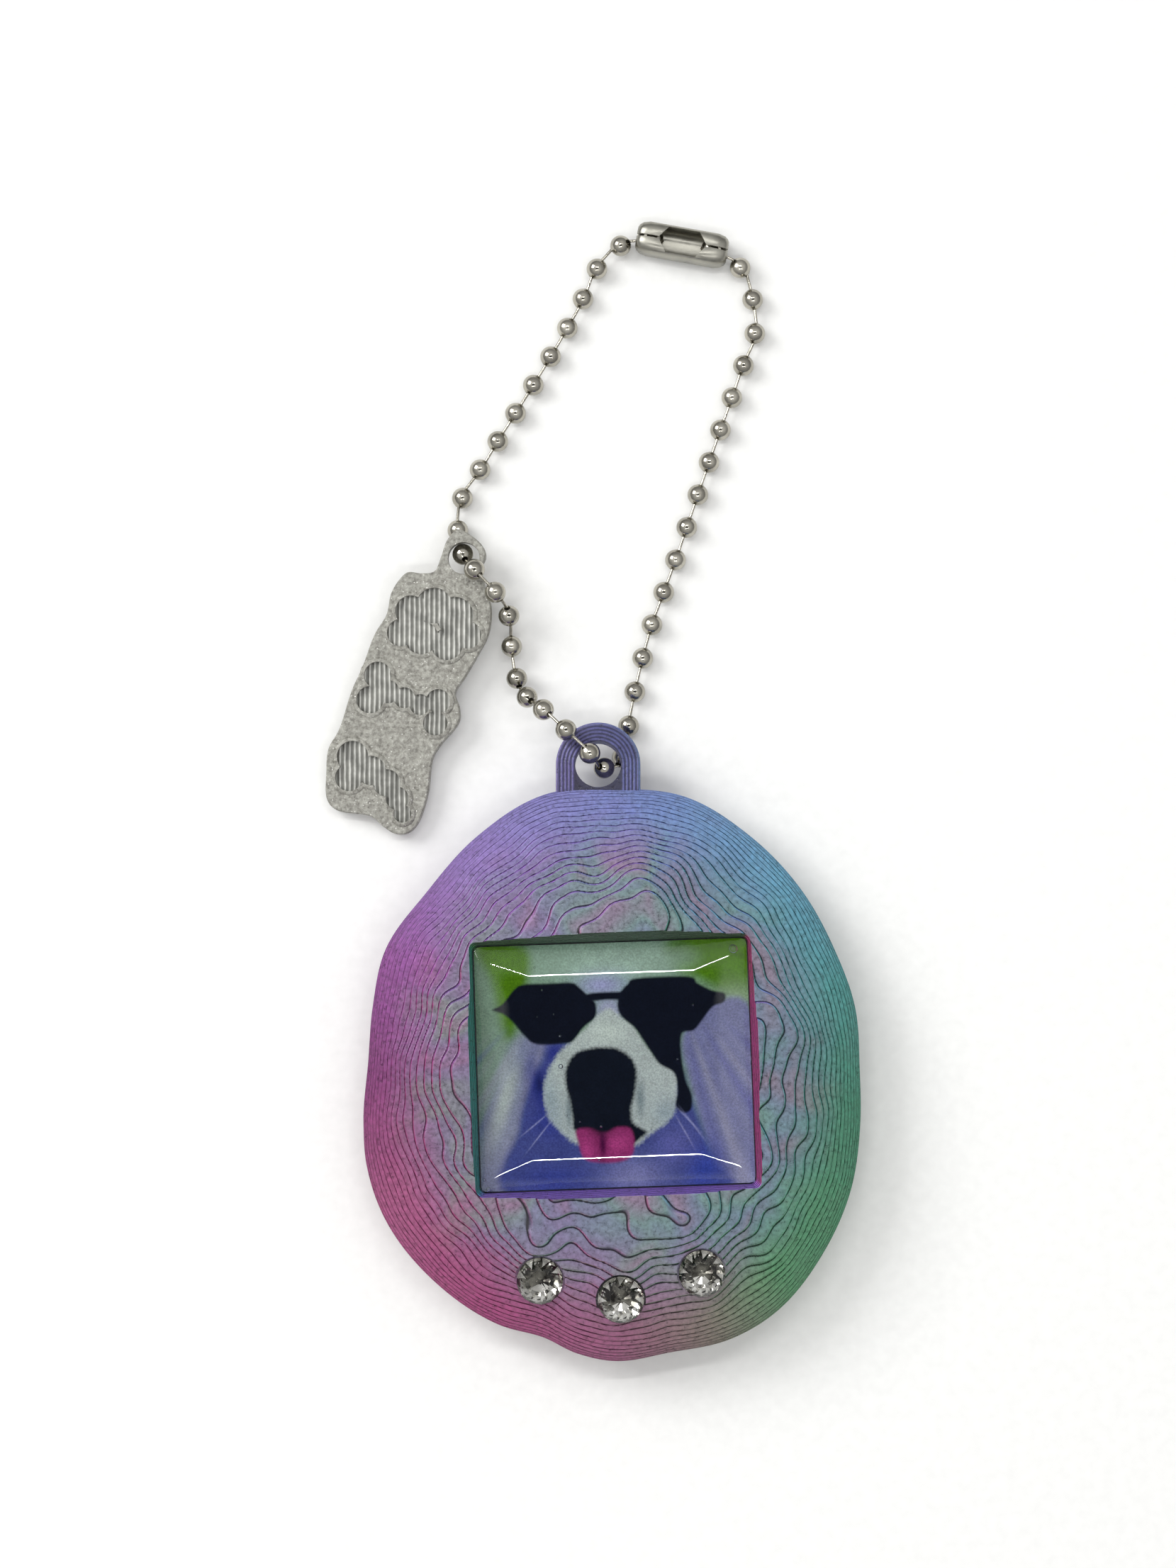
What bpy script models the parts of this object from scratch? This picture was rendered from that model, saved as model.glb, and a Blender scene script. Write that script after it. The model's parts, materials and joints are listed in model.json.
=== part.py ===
"""Egg-shaped picture charm on a ball chain, laid flat on its back: +Z is up, +Y runs from the egg
to the chain's connector, and the origin is the middle of the egg's flat back.

A printed egg body holds a picture print under a clear resin dome and three flat-back glass stones.
A ball chain of 2 mm beads runs through the egg's eyelet and through the eyelet of a small tag, and its
two end beads sit in a folded steel connector. Each chain link is one hollow bead with the pin that
reaches into the bead before it, counted outwards from the bead in the egg's eyelet.
Sizes below are in millimetres."""

import math

import bmesh
import bpy
import numpy as np
from mathutils import Matrix, Vector

MM = 0.001

# ---------------------------------------------------------------- egg body
EGG_OUTLINE = [
    (0.0, 26.5), (6.6, 25.8), (12.6, 22.2), (17.6, 16.9), (20.5, 11.6), (22.4, 6.2), (22.8, 0.5),
    (22.8, -5.0), (21.8, -11.1), (19.4, -16.4), (15.2, -21.7), (10.7, -24.4), (5.2, -25.6),
    (0.3, -26.4), (-3.4, -25.7), (-6.6, -24.2), (-10.8, -23.0), (-16.6, -19.1), (-21.0, -13.7),
    (-22.9, -8.4), (-23.2, -4.5), (-22.8, 1.0), (-22.4, 6.2), (-21.2, 11.6), (-17.4, 16.9),
    (-12.6, 22.2), (-6.4, 26.0),
]
EDGE_LOW, EDGE_HIGH = 4.9, 5.7          # the upright band round the egg's widest part
CROWN = 6.1                             # rise of the front above that band
CROWN_FALL, CROWN_ROUND = 2.6, 0.62     # how late and how steeply the front falls to the band
BACK_FLAT = 0.72                        # share of the radius where the back is flat
# Hills and hollows of the hammered front: x, y, radius and height.
HILLS = [
    (2.0, 16.5, 4.6, 0.90), (-8.0, 15.0, 4.2, 0.35), (-3.0, 22.0, 3.4, -0.35), (12.5, 17.5, 4.0, -0.45),
    (4.4, -14.4, 3.2, 0.50), (-6.5, -15.0, 4.0, 0.40), (-17.5, 1.0, 4.8, 0.40), (16.8, 3.0, 4.0, 0.40),
    (-12.5, 19.5, 5.0, -0.60), (20.0, 9.5, 4.6, -0.50), (-20.0, 8.5, 3.8, -0.60),
    (-19.0, -13.5, 4.6, -0.55), (-8.0, -23.5, 3.6, -0.60), (12.5, -21.5, 4.2, -0.55),
    (20.5, -9.5, 4.4, 0.35),
]
AROUND, FRONT_RINGS, BACK_RINGS = 80, 11, 4

# ---------------------------------------------------------------- window, picture and dome
WINDOW_CENTRE = (0.0, 0.8)
WINDOW = (25.4, 22.7)                   # opening at the floor
WINDOW_TURN = math.radians(2.0)         # it sits a little turned in the egg's face
WINDOW_DRAFT = 0.3                      # how much wider the opening is at its mouth, each side
FLOOR_Z = 7.9
CORNER = 0.6
PRINT_THICKNESS = 0.25
DOME_EDGE, DOME_RISE = 1.1, 1.0         # thickness at the rim, and the crown above it
SEAT_GAP, SIDE_GAP = 0.05, 0.15         # bond line under a glued piece, and gap round it

# ---------------------------------------------------------------- stones
STONES = {"left": (-6.8, -18.9), "middle": (0.6, -20.6), "right": (8.0, -18.2)}
STONE_RADIUS, STONE_HEIGHT, STONE_FACETS = 2.15, 1.6, 16
GIRDLE_HEIGHT, TABLE_RADIUS = 0.35, 1.0
SEAT_RADIUS, SEAT_DEPTH = 2.3, 0.55

# ---------------------------------------------------------------- egg eyelet
EYELET = (-1.45, 28.8)
EYELET_RADIUS, EYELET_HOLE = 3.95, 2.15
EYELET_LOW, EYELET_HIGH = 3.4, 6.0

# ---------------------------------------------------------------- ball chain
BEAD, SHELL = 1.0, 0.10                 # bead radius and wall
PIN, HOLE, HEAD = 0.15, 0.29, 0.31      # radii of the pin, the hole that it tilts in, and its head
HEAD_DEPTH = 0.70                        # how far the head's middle sits inside the bead before it
SIDES = 8
# The chain's line, from the bead in the egg's eyelet: up and over the rim, down to the table, over
# the tag's shoulder, down through its eyelet, and along the table to the connector.
LEFT_ROUTE = [
    (-0.9, 28.6, 4.3), (-2.2, 29.7, 6.9), (-4.3, 31.7, 7.7), (-6.6, 33.9, 6.4), (-8.2, 35.4, 3.9),
    (-9.1, 37.2, 1.9), (-9.6, 40.0, 1.5), (-9.8, 42.9, 3.1), (-10.9, 44.8, 5.3),
    (-12.6, 46.7, 5.7), (-14.0, 48.5, 3.4), (-14.7, 50.8, 1.3), (-14.7, 53.8, 1.0),
    (-13.5, 56.1, 1.0), (-10.0, 61.8, 1.0), (-6.6, 67.3, 1.0), (-3.25, 73.2, 1.0),
    (-1.8, 76.5, 1.05), (0.55, 79.0, 1.25), (3.85, 79.6, 1.6),
]
LEFT_BEADS = 22
# Down through the egg's eyelet, under its rim, and along the table to the connector.
RIGHT_ROUTE = [
    (-0.9, 28.6, 4.3), (0.9, 29.9, 1.7), (1.4, 32.6, 1.05), (1.9, 35.5, 1.0), (3.5, 42.0, 1.0),
    (5.8, 48.4, 1.0), (9.05, 57.9, 1.0), (12.3, 67.1, 1.0), (13.5, 70.3, 1.0), (13.4, 73.7, 1.0),
    (12.2, 76.9, 1.2), (9.35, 78.6, 1.6),
]
RIGHT_BEADS = 17

# ---------------------------------------------------------------- connector
CONNECTOR_LENGTH, CONNECTOR_WIDTH, CONNECTOR_HEIGHT = 8.8, 3.1, 3.0
CONNECTOR_WALL = 0.25
MOUTH_LENGTH, MOUTH_WIDTH, MOUTH_POINT = 4.4, 2.1, 0.9
END_SLOT = 1.7

# ---------------------------------------------------------------- tag
TAG_HOLE = (-14.1, 48.65)
TAG_TURN = math.radians(-13.0)          # its long side leans this far from -Y
TAG_TILT = math.radians(4.6)            # it leans on the chain bead under its eyelet
TAG_THICKNESS, TAG_RECESS = 2.0, 0.55
TAG_BORE = 1.5
TAG_EYE_BACK = 2.2                      # height of its back at the eyelet
# Outline in its own frame: the eyelet's middle is the origin, and the tag hangs down -Y.
TAG_OUTLINE = [
    (-1.1, 2.5), (0.3, 2.2), (1.5, 1.5), (2.0, 0.6), (1.9, -0.6), (2.6, -2.2), (3.6, -4.0), (3.9, -6.4),
    (3.4, -8.5), (2.7, -10.8), (2.1, -12.6), (2.8, -13.9), (3.0, -15.4), (1.8, -17.8), (1.4, -19.4),
    (1.7, -22.3), (1.5, -25.0), (0.8, -26.4), (-0.4, -26.8), (-1.7, -26.4), (-3.2, -25.7), (-6.1, -25.9),
    (-7.5, -25.0), (-8.1, -22.6), (-8.4, -20.4), (-7.8, -18.2), (-7.5, -14.6), (-7.0, -12.1),
    (-6.6, -9.0), (-5.9, -6.8), (-5.9, -4.6), (-5.0, -2.6), (-3.6, -2.3), (-2.4, -1.8), (-2.1, -0.3),
    (-1.9, 1.3),
]
# Puddle-shaped recesses in its face: each a row of overlapping rounds, x, y and radius.
TAG_PUDDLES = {
    "cloud": [(-3.7, -6.0, 1.5), (-1.7, -5.0, 1.7), (0.4, -5.5, 1.8), (2.0, -7.0, 1.3), (0.3, -8.3, 1.5),
              (-2.2, -8.2, 1.6), (-4.2, -8.2, 1.3)],
    "bone": [(-5.4, -12.6, 1.3), (-5.6, -15.0, 1.3), (-4.1, -13.9, 1.1), (-2.5, -14.1, 1.0),
             (-0.9, -14.4, 1.0), (0.7, -13.7, 1.15), (0.9, -15.8, 1.15)],
    "drop": [(-6.0, -20.6, 1.5), (-5.9, -22.6, 1.3), (-4.0, -21.5, 1.4), (-2.3, -22.3, 1.3),
             (-1.0, -23.5, 1.1), (-0.2, -24.8, 0.85)],
}

COLOURS = {
    "printed_silk": ((0.42, 0.30, 0.55, 1), 0.38, 0.25),
    "picture": ((0.36, 0.34, 0.52, 1), 0.5, 0.0),
    "clear_resin": ((0.9, 0.95, 0.95, 1), 0.05, 0.0),
    "crystal": ((0.88, 0.9, 0.92, 1), 0.05, 0.6),
    "nickel": ((0.72, 0.71, 0.66, 1), 0.18, 1.0),
    "silver_print": ((0.62, 0.62, 0.6, 1), 0.45, 0.2),
}


# ---------------------------------------------------------------- shapes worked out by formula
def egg_radius(angle):
    """Distance from the egg's middle to its outline, on a smooth closed curve through its points."""
    points = sorted((math.atan2(y, x), math.hypot(x, y)) for x, y in EGG_OUTLINE)
    turn = 2 * math.pi
    angles = [a - turn for a, _ in points] + [a for a, _ in points] + [a + turn for a, _ in points]
    radii = [r for _, r in points] * 3
    angle = (angle + math.pi) % turn - math.pi
    i = int(np.searchsorted(angles, angle, side="right")) - 1
    slopes = [
        (radii[k + 1] - radii[k - 1]) / (angles[k + 1] - angles[k - 1]) for k in (i, i + 1)
    ]
    span = angles[i + 1] - angles[i]
    t = (angle - angles[i]) / span
    return (
        (2 * t**3 - 3 * t**2 + 1) * radii[i]
        + (t**3 - 2 * t**2 + t) * span * slopes[0]
        + (3 * t**2 - 2 * t**3) * radii[i + 1]
        + (t**3 - t**2) * span * slopes[1]
    )


def front_height(x, y, rho):
    """Height of the egg's front at a place that lies rho of the way out to the outline."""
    crown = CROWN * (1 - rho**CROWN_FALL) ** CROWN_ROUND
    hills = sum(
        h * math.exp(-((x - hx) ** 2 + (y - hy) ** 2) / (r * r)) for hx, hy, r, h in HILLS
    )
    return EDGE_HIGH + crown + hills * (1 - rho**6)


def back_height(rho):
    """Height of the egg's back: flat in the middle, then a quarter of an ellipse up to the band."""
    t = max(0.0, (rho - BACK_FLAT) / (1 - BACK_FLAT))
    return EDGE_LOW * (1 - math.sqrt(max(0.0, 1 - t * t)))


def smooth_line(points, per_span=24):
    """Points along a smooth line (a Catmull-Rom spline) through a hand-chosen route."""
    p = [Vector(q) for q in points]
    p = [2 * p[0] - p[1]] + p + [2 * p[-1] - p[-2]]
    line = []
    for a, b, c, d in zip(p, p[1:], p[2:], p[3:]):
        for k in range(per_span):
            t = k / per_span
            line.append(
                0.5 * (2 * b + (c - a) * t + (2 * a - 5 * b + 4 * c - d) * t**2
                       + (3 * b - 3 * c + d - a) * t**3)
            )
    return line + [p[-2]]


def beads_along(route, count):
    """Middles of count beads after the first, evenly spaced along the route."""
    line = smooth_line(route)
    steps = np.cumsum([0.0] + [(b - a).length for a, b in zip(line, line[1:])])
    places = np.linspace(0.0, steps[-1], count + 1)
    columns = [np.interp(places, steps, [p[k] for p in line]) for k in range(3)]
    return [Vector(p) for p in zip(*columns)]


def bead_axes(beads):
    """Which way each bead's two holes face: halfway between the pins that leave it. A pin's own line
    depends on where the holes are, so the axes are settled in a few rounds."""
    ends = [beads[0] * 2 - beads[1]] + beads + [beads[-1] * 2 - beads[-2]]
    axes = [(c - a).normalized() for a, c in zip(ends, ends[2:])]
    for _ in range(30):
        pins = [
            (q - p - BEAD * (u + v)).normalized()
            for p, q, u, v in zip(beads, beads[1:], axes, axes[1:])
        ]
        pins = [pins[0]] + pins + [pins[-1]]
        axes = [(2 * u + p + q).normalized() for u, p, q in zip(axes, pins, pins[1:])]
    return axes


# ---------------------------------------------------------------- making objects
def material(name):
    """A Principled material with the finish's own colour, roughness and metallic value."""
    found = bpy.data.materials.get(name)
    if found:
        return found
    colour, roughness, metallic = COLOURS[name]
    made = bpy.data.materials.new(name)
    made.use_nodes = True
    shader = made.node_tree.nodes["Principled BSDF"]
    shader.inputs["Base Color"].default_value = colour
    shader.inputs["Roughness"].default_value = roughness
    shader.inputs["Metallic"].default_value = metallic
    made.diffuse_color = colour
    return made


def add_object(name, mesh, finish, smooth=True):
    """Links a mesh to the scene as one named part."""
    obj = bpy.data.objects.new(name, mesh)
    bpy.context.scene.collection.objects.link(obj)
    mesh.materials.append(material(finish))
    if smooth:
        mesh.shade_smooth()
        mesh.set_sharp_from_angle(angle=math.radians(40))
    return obj


def mesh_from(name, points, faces):
    """A mesh from points in millimetres and faces by point number."""
    mesh = bpy.data.meshes.new(name)
    mesh.from_pydata([Vector(p) * MM for p in points], [], faces)
    mesh.validate()
    work = bmesh.new()
    work.from_mesh(mesh)
    bmesh.ops.recalc_face_normals(work, faces=work.faces)
    work.to_mesh(mesh)
    work.free()
    return mesh


def stacked_rings(rings, closed_low=True, closed_high=True):
    """Points and faces of a skin over rings of equally many points, with a face closing each end."""
    n = len(rings[0])
    points = [p for ring in rings for p in ring]
    faces = [
        (k * n + i, k * n + (i + 1) % n, (k + 1) * n + (i + 1) % n, (k + 1) * n + i)
        for k in range(len(rings) - 1)
        for i in range(n)
    ]
    if closed_low:
        faces.append(tuple(reversed(range(n))))
    if closed_high:
        faces.append(tuple(range((len(rings) - 1) * n, len(rings) * n)))
    return points, faces


def prism(name, outline, low, high, draft=0.0):
    """A closed slab with the outline, whose top is wider by draft on each side."""
    centre = sum((Vector(p) for p in outline), Vector((0, 0))) / len(outline)
    wider = [Vector(p) + (Vector(p) - centre).normalized() * draft for p in outline]
    rings = [[(*p, low) for p in outline], [(*p, high) for p in wider]]
    return mesh_from(name, *stacked_rings(rings))


def rounded_rectangle(centre, size, radius, steps=4, turn=0.0):
    """Corners of a rectangle with round corners, counter-clockwise, turned about its middle."""
    points = []
    c, s = math.cos(turn), math.sin(turn)
    for corner, start in (((1, 1), 0), ((-1, 1), 90), ((-1, -1), 180), ((1, -1), 270)):
        for k in range(steps + 1):
            a = math.radians(start + 90 * k / steps)
            x = corner[0] * (size[0] / 2 - radius) + radius * math.cos(a)
            y = corner[1] * (size[1] / 2 - radius) + radius * math.sin(a)
            points.append((centre[0] + c * x - s * y, centre[1] + s * x + c * y))
    return points


def circle(centre, radius, steps=32):
    """Points of a circle, counter-clockwise."""
    return [
        (centre[0] + radius * math.cos(2 * math.pi * k / steps),
         centre[1] + radius * math.sin(2 * math.pi * k / steps))
        for k in range(steps)
    ]


def set_origin(obj, point):
    """Moves a part's origin to a point, and leaves its surface where it is."""
    place = Vector(point) * MM
    obj.data.transform(Matrix.Translation(obj.location - place))
    obj.location = place


def boolean(obj, mesh, operation):
    """Cuts a helper shape from a part, or joins it on, and keeps the helper out of the model."""
    helper = bpy.data.objects.new(obj.name + "_" + mesh.name, mesh)
    bpy.context.scene.collection.objects.link(helper)
    helper.hide_render = True
    helper.display_type = "WIRE"
    modifier = obj.modifiers.new(mesh.name, "BOOLEAN")
    modifier.operation = operation
    modifier.object = helper
    modifier.solver = "EXACT"
    return helper


# ---------------------------------------------------------------- the egg and what sits in it
def window_outline(inset, radius=CORNER):
    """The window's opening, drawn in by inset all round."""
    size = [s - 2 * inset for s in WINDOW]
    return rounded_rectangle(WINDOW_CENTRE, size, radius, turn=WINDOW_TURN)


def egg_mesh():
    """The egg's skin: rings from the middle of its back, round its edge, to the middle of its front."""
    angles = [2 * math.pi * k / AROUND for k in range(AROUND)]
    back = [BACK_FLAT * k / 2 for k in (1, 2)]
    back += [BACK_FLAT + (1 - BACK_FLAT) * math.sin(math.pi / 2 * k / BACK_RINGS)
             for k in range(1, BACK_RINGS + 1)]
    front = [math.sin(math.pi / 2 * k / FRONT_RINGS) for k in range(FRONT_RINGS, 0, -1)]
    rings = []
    for shares, height in ((back, lambda x, y, rho: back_height(rho)), (front, front_height)):
        for rho in shares:
            ring = []
            for a in angles:
                r = rho * egg_radius(a)
                x, y = r * math.cos(a), r * math.sin(a)
                ring.append((x, y, height(x, y, rho)))
            rings.append(ring)
    points, faces = stacked_rings(rings, closed_low=False, closed_high=False)
    points += [(0, 0, 0), (0, 0, front_height(0, 0, 0))]
    last = (len(rings) - 1) * AROUND
    for i in range(AROUND):
        j = (i + 1) % AROUND
        faces.append((j, i, len(points) - 2))
        faces.append((last + i, last + j, len(points) - 1))
    return mesh_from("egg_skin", points, faces)


def eyelet_mesh():
    """The egg's hanging eye: a round end with straight sides that run into the egg."""
    x, y = EYELET
    top = [(x + EYELET_RADIUS * math.cos(math.pi * k / 20),
            y + EYELET_RADIUS * math.sin(math.pi * k / 20)) for k in range(21)]
    feet = [(x - EYELET_RADIUS, y - 6.5), (x + EYELET_RADIUS, y - 6.5)]
    return prism("eyelet", top + feet, EYELET_LOW, EYELET_HIGH)


def stone_top(name):
    """Height of the egg's front under a stone."""
    x, y = STONES[name]
    return front_height(x, y, math.hypot(x, y) / egg_radius(math.atan2(y, x)))


def make_egg():
    body = add_object("egg_body", egg_mesh(), "printed_silk")
    boolean(body, eyelet_mesh(), "UNION")
    boolean(body, prism("eyelet_hole", circle(EYELET, EYELET_HOLE), 0, 12), "DIFFERENCE")
    outline = window_outline(0.0)
    boolean(body, prism("window", outline, FLOOR_Z, FLOOR_Z + 6, WINDOW_DRAFT * 2), "DIFFERENCE")
    for name, place in STONES.items():
        top = stone_top(name)
        seat = prism("seat_" + name, circle(place, SEAT_RADIUS, 24), top - SEAT_DEPTH, top + 3)
        boolean(body, seat, "DIFFERENCE")


def make_picture():
    """The printed picture, cut a little smaller than the window's floor."""
    outline = window_outline(SIDE_GAP)
    low = FLOOR_Z + SEAT_GAP
    mesh = prism("picture_print", outline, low, low + PRINT_THICKNESS)
    add_object("picture_print", mesh, "picture")


def make_dome():
    """Clear resin over the picture: upright at its rim and crowned over its middle."""
    low = FLOOR_Z + SEAT_GAP * 2 + PRINT_THICKNESS
    rings = []
    for k in range(6):
        inward = 1 - math.cos(math.pi / 2 * k / 5)
        lift = math.sin(math.pi / 2 * k / 5)
        outline = window_outline(SIDE_GAP + 2.2 * inward, CORNER + 1.6 * inward)
        rings.append([(*p, low + DOME_EDGE + DOME_RISE * 0.8 * lift) for p in outline])
    rings.insert(0, [(p[0], p[1], low) for p in rings[0]])
    outline = window_outline(7.0, 4.0)
    rings.append([(*p, low + DOME_EDGE + DOME_RISE) for p in outline])
    add_object("clear_dome", mesh_from("clear_dome", *stacked_rings(rings)), "clear_resin")


def make_stone(name):
    """A flat-back stone: a low girdle, one ring of kite facets and a flat table."""
    x, y = STONES[name]
    low = stone_top(name) - SEAT_DEPTH + SEAT_GAP
    middle = (STONE_RADIUS + TABLE_RADIUS) / 2 + 0.15
    heights = [0.0, GIRDLE_HEIGHT, 1.15, STONE_HEIGHT]
    radii = [STONE_RADIUS, STONE_RADIUS, middle, TABLE_RADIUS]
    rings = []
    for k, (height, radius) in enumerate(zip(heights, radii)):
        shift = 0.5 * (k == 2)
        rings.append([
            (x + radius * math.cos(2 * math.pi * (i + shift) / STONE_FACETS),
             y + radius * math.sin(2 * math.pi * (i + shift) / STONE_FACETS), low + height)
            for i in range(STONE_FACETS)
        ])
    add_object("stone_" + name, mesh_from("stone", *stacked_rings(rings)), "crystal", smooth=False)


# ---------------------------------------------------------------- the ball chain
def link_mesh(bead, axis, previous_hole):
    """A hollow bead with its outer hole along axis, and the pin from its inner pole that ends in a
    head inside the bead before it. previous_hole is that bead's outer hole, or None for the first."""
    inner_pole = bead - BEAD * axis
    if previous_hole is None:
        pin_way, reach = -axis, 0.0
    else:
        pin_way = (previous_hole - inner_pole).normalized()
        reach = (previous_hole - inner_pole).length + HEAD_DEPTH
    side = axis.cross(Vector((0, 0, 1)))
    side = side.normalized() if side.length > 0.2 else Vector((1, 0, 0))
    other = axis.cross(side).normalized()
    side = other.cross(axis)
    tilt = (-axis).rotation_difference(pin_way)

    def ring(base, along, radius, turn=None):
        out = []
        for k in range(SIDES):
            a = 2 * math.pi * k / SIDES
            offset = radius * (math.cos(a) * side + math.sin(a) * other)
            place = along
            if turn:
                offset, place = turn @ offset, turn @ along
            out.append(base + place + offset)
        return out

    def on_shell(radius, degrees):
        a = math.radians(degrees)
        return ring(bead, -radius * math.cos(a) * axis, radius * math.sin(a))

    inner = BEAD - SHELL
    hole_angle = math.degrees(math.asin(HOLE / BEAD))
    edge_angle = math.degrees(math.asin(HOLE / inner))
    pin_angle = math.degrees(math.asin(PIN / BEAD))
    rings = []
    if previous_hole is not None:
        for along, radius in (
            (reach + 0.8 * HEAD, 0.5 * HEAD), (reach, HEAD), (reach - HEAD, PIN),
        ):
            rings.append(ring(inner_pole, -along * axis, radius, tilt))
        rings.append(on_shell(BEAD, pin_angle))
    else:
        rings.append(on_shell(inner, edge_angle))
        rings.append(on_shell(BEAD, hole_angle))
    rings += [on_shell(BEAD, a) for a in (42, 76, 104, 138)]
    rings.append(on_shell(BEAD, 180 - hole_angle))
    rings.append(on_shell(inner, 180 - edge_angle))
    rings += [on_shell(inner, a) for a in (140, 112, 72)]
    if previous_hole is not None:
        rings.append(on_shell(inner, 30))
        return mesh_from("link", *stacked_rings(rings))
    points, faces = stacked_rings(rings, closed_low=False, closed_high=False)
    last = (len(rings) - 1) * SIDES
    for i in range(SIDES):
        j = (i + 1) % SIDES
        faces.append((last + i, last + j, j, i))
    return mesh_from("link", points, faces)


def chain_layout():
    """Every bead's middle and outward axis: the bead in the egg's eyelet first, then each side."""
    left = beads_along(LEFT_ROUTE, LEFT_BEADS)
    right = beads_along(RIGHT_ROUTE, RIGHT_BEADS)
    axes = bead_axes(right[:0:-1] + left)
    sides = {
        "left": (left, axes[RIGHT_BEADS:]),
        "right": (right, [-a for a in axes[RIGHT_BEADS::-1]]),
    }
    return sides


def make_chain():
    sides = chain_layout()
    beads, axes = sides["left"]
    centre = add_object("link_centre", link_mesh(beads[0], axes[0], None), "nickel")
    set_origin(centre, (EYELET[0], EYELET[1], beads[0].z))
    for side, (beads, axes) in sides.items():
        for i in range(1, len(beads)):
            hole = beads[i - 1] + BEAD * axes[i - 1]
            link = add_object(f"link_{side}_{i:02d}", link_mesh(beads[i], axes[i], hole), "nickel")
            set_origin(link, hole)
    beads, axes = sides["left"]
    return beads[-1], sides["right"][0][-1], beads[-2] + BEAD * axes[-2]


def make_connector(left_end, right_end, hinge):
    """The folded steel connector: a rounded trough with a window that a bead passes, and end slots.
    It swings about hinge, the hole of the last bead outside its left end."""
    middle = (left_end + right_end) / 2
    along = (right_end - left_end).normalized()
    place = Matrix.Translation(middle * MM) @ Matrix(
        (along, Vector((0, 0, 1)).cross(along), (0, 0, 1))
    ).transposed().to_4x4()

    def shell(name, wall):
        half = CONNECTOR_WIDTH / 2 - wall
        depth = CONNECTOR_HEIGHT / 2 - wall
        length = CONNECTOR_LENGTH / 2 - wall
        rings = []
        for x, share in ((-length, 0.62), (-length + 0.45, 0.9), (-length + 1.1, 1.0),
                         (length - 1.1, 1.0), (length - 0.45, 0.9), (length, 0.62)):
            ring = rounded_rectangle((0, 0), (2 * half * share, 2 * depth * share), 0.95 * share, 2)
            rings.append([(x, y, z) for y, z in ring])
        return mesh_from(name, *stacked_rings(rings))

    connector = add_object("chain_connector", shell("connector", 0.0), "nickel")
    tip = MOUTH_LENGTH / 2
    hexagon = [(tip, 0), (tip - MOUTH_POINT, MOUTH_WIDTH / 2),
               (MOUTH_POINT - tip, MOUTH_WIDTH / 2), (-tip, 0),
               (MOUTH_POINT - tip, -MOUTH_WIDTH / 2), (tip - MOUTH_POINT, -MOUTH_WIDTH / 2)]
    slot = [(-6, -END_SLOT / 2), (6, -END_SLOT / 2), (6, END_SLOT / 2), (-6, END_SLOT / 2)]
    cutters = [
        shell("hollow", CONNECTOR_WALL),
        prism("bead_window", hexagon, 0.0, 3.0),
        prism("pin_slots", slot, -0.95, 3.0),
    ]
    to_hinge = Matrix.Translation(place.inverted() @ (hinge * MM))
    connector.data.transform(to_hinge.inverted())
    connector.matrix_world = place @ to_hinge
    for mesh in cutters:
        boolean(connector, mesh, "DIFFERENCE").matrix_world = place


# ---------------------------------------------------------------- the tag
def make_tag():
    """The printed tag, leaning on the bead under its eyelet, with puddle-shaped recesses."""
    line = smooth_line([(*p, 0.0) for p in TAG_OUTLINE + TAG_OUTLINE[:1]], per_span=4)[:-1]
    outline = [(p.x, p.y) for p in line]
    tag = add_object("charm_tag", prism("tag", outline, 0.0, TAG_THICKNESS), "silver_print")
    place = (
        Matrix.Translation(Vector((*TAG_HOLE, TAG_EYE_BACK)) * MM)
        @ Matrix.Rotation(TAG_TURN, 4, "Z")
        @ Matrix.Rotation(TAG_TILT, 4, "X")
    )
    tag.matrix_world = place
    cutters = [prism("bore", circle((0, 0), TAG_BORE, 24), -1, 4)]
    floor = TAG_THICKNESS - TAG_RECESS
    for name, rounds in TAG_PUDDLES.items():
        for k, (x, y, r) in enumerate(rounds):
            cutters.append(prism(f"{name}_{k}", circle((x, y), r, 14), floor, 4))
    for mesh in cutters:
        boolean(tag, mesh, "DIFFERENCE").matrix_world = place


def main():
    for obj in list(bpy.data.objects):
        bpy.data.objects.remove(obj, do_unlink=True)
    make_egg()
    make_picture()
    make_dome()
    for name in STONES:
        make_stone(name)
    make_connector(*make_chain())
    make_tag()


main()
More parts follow.
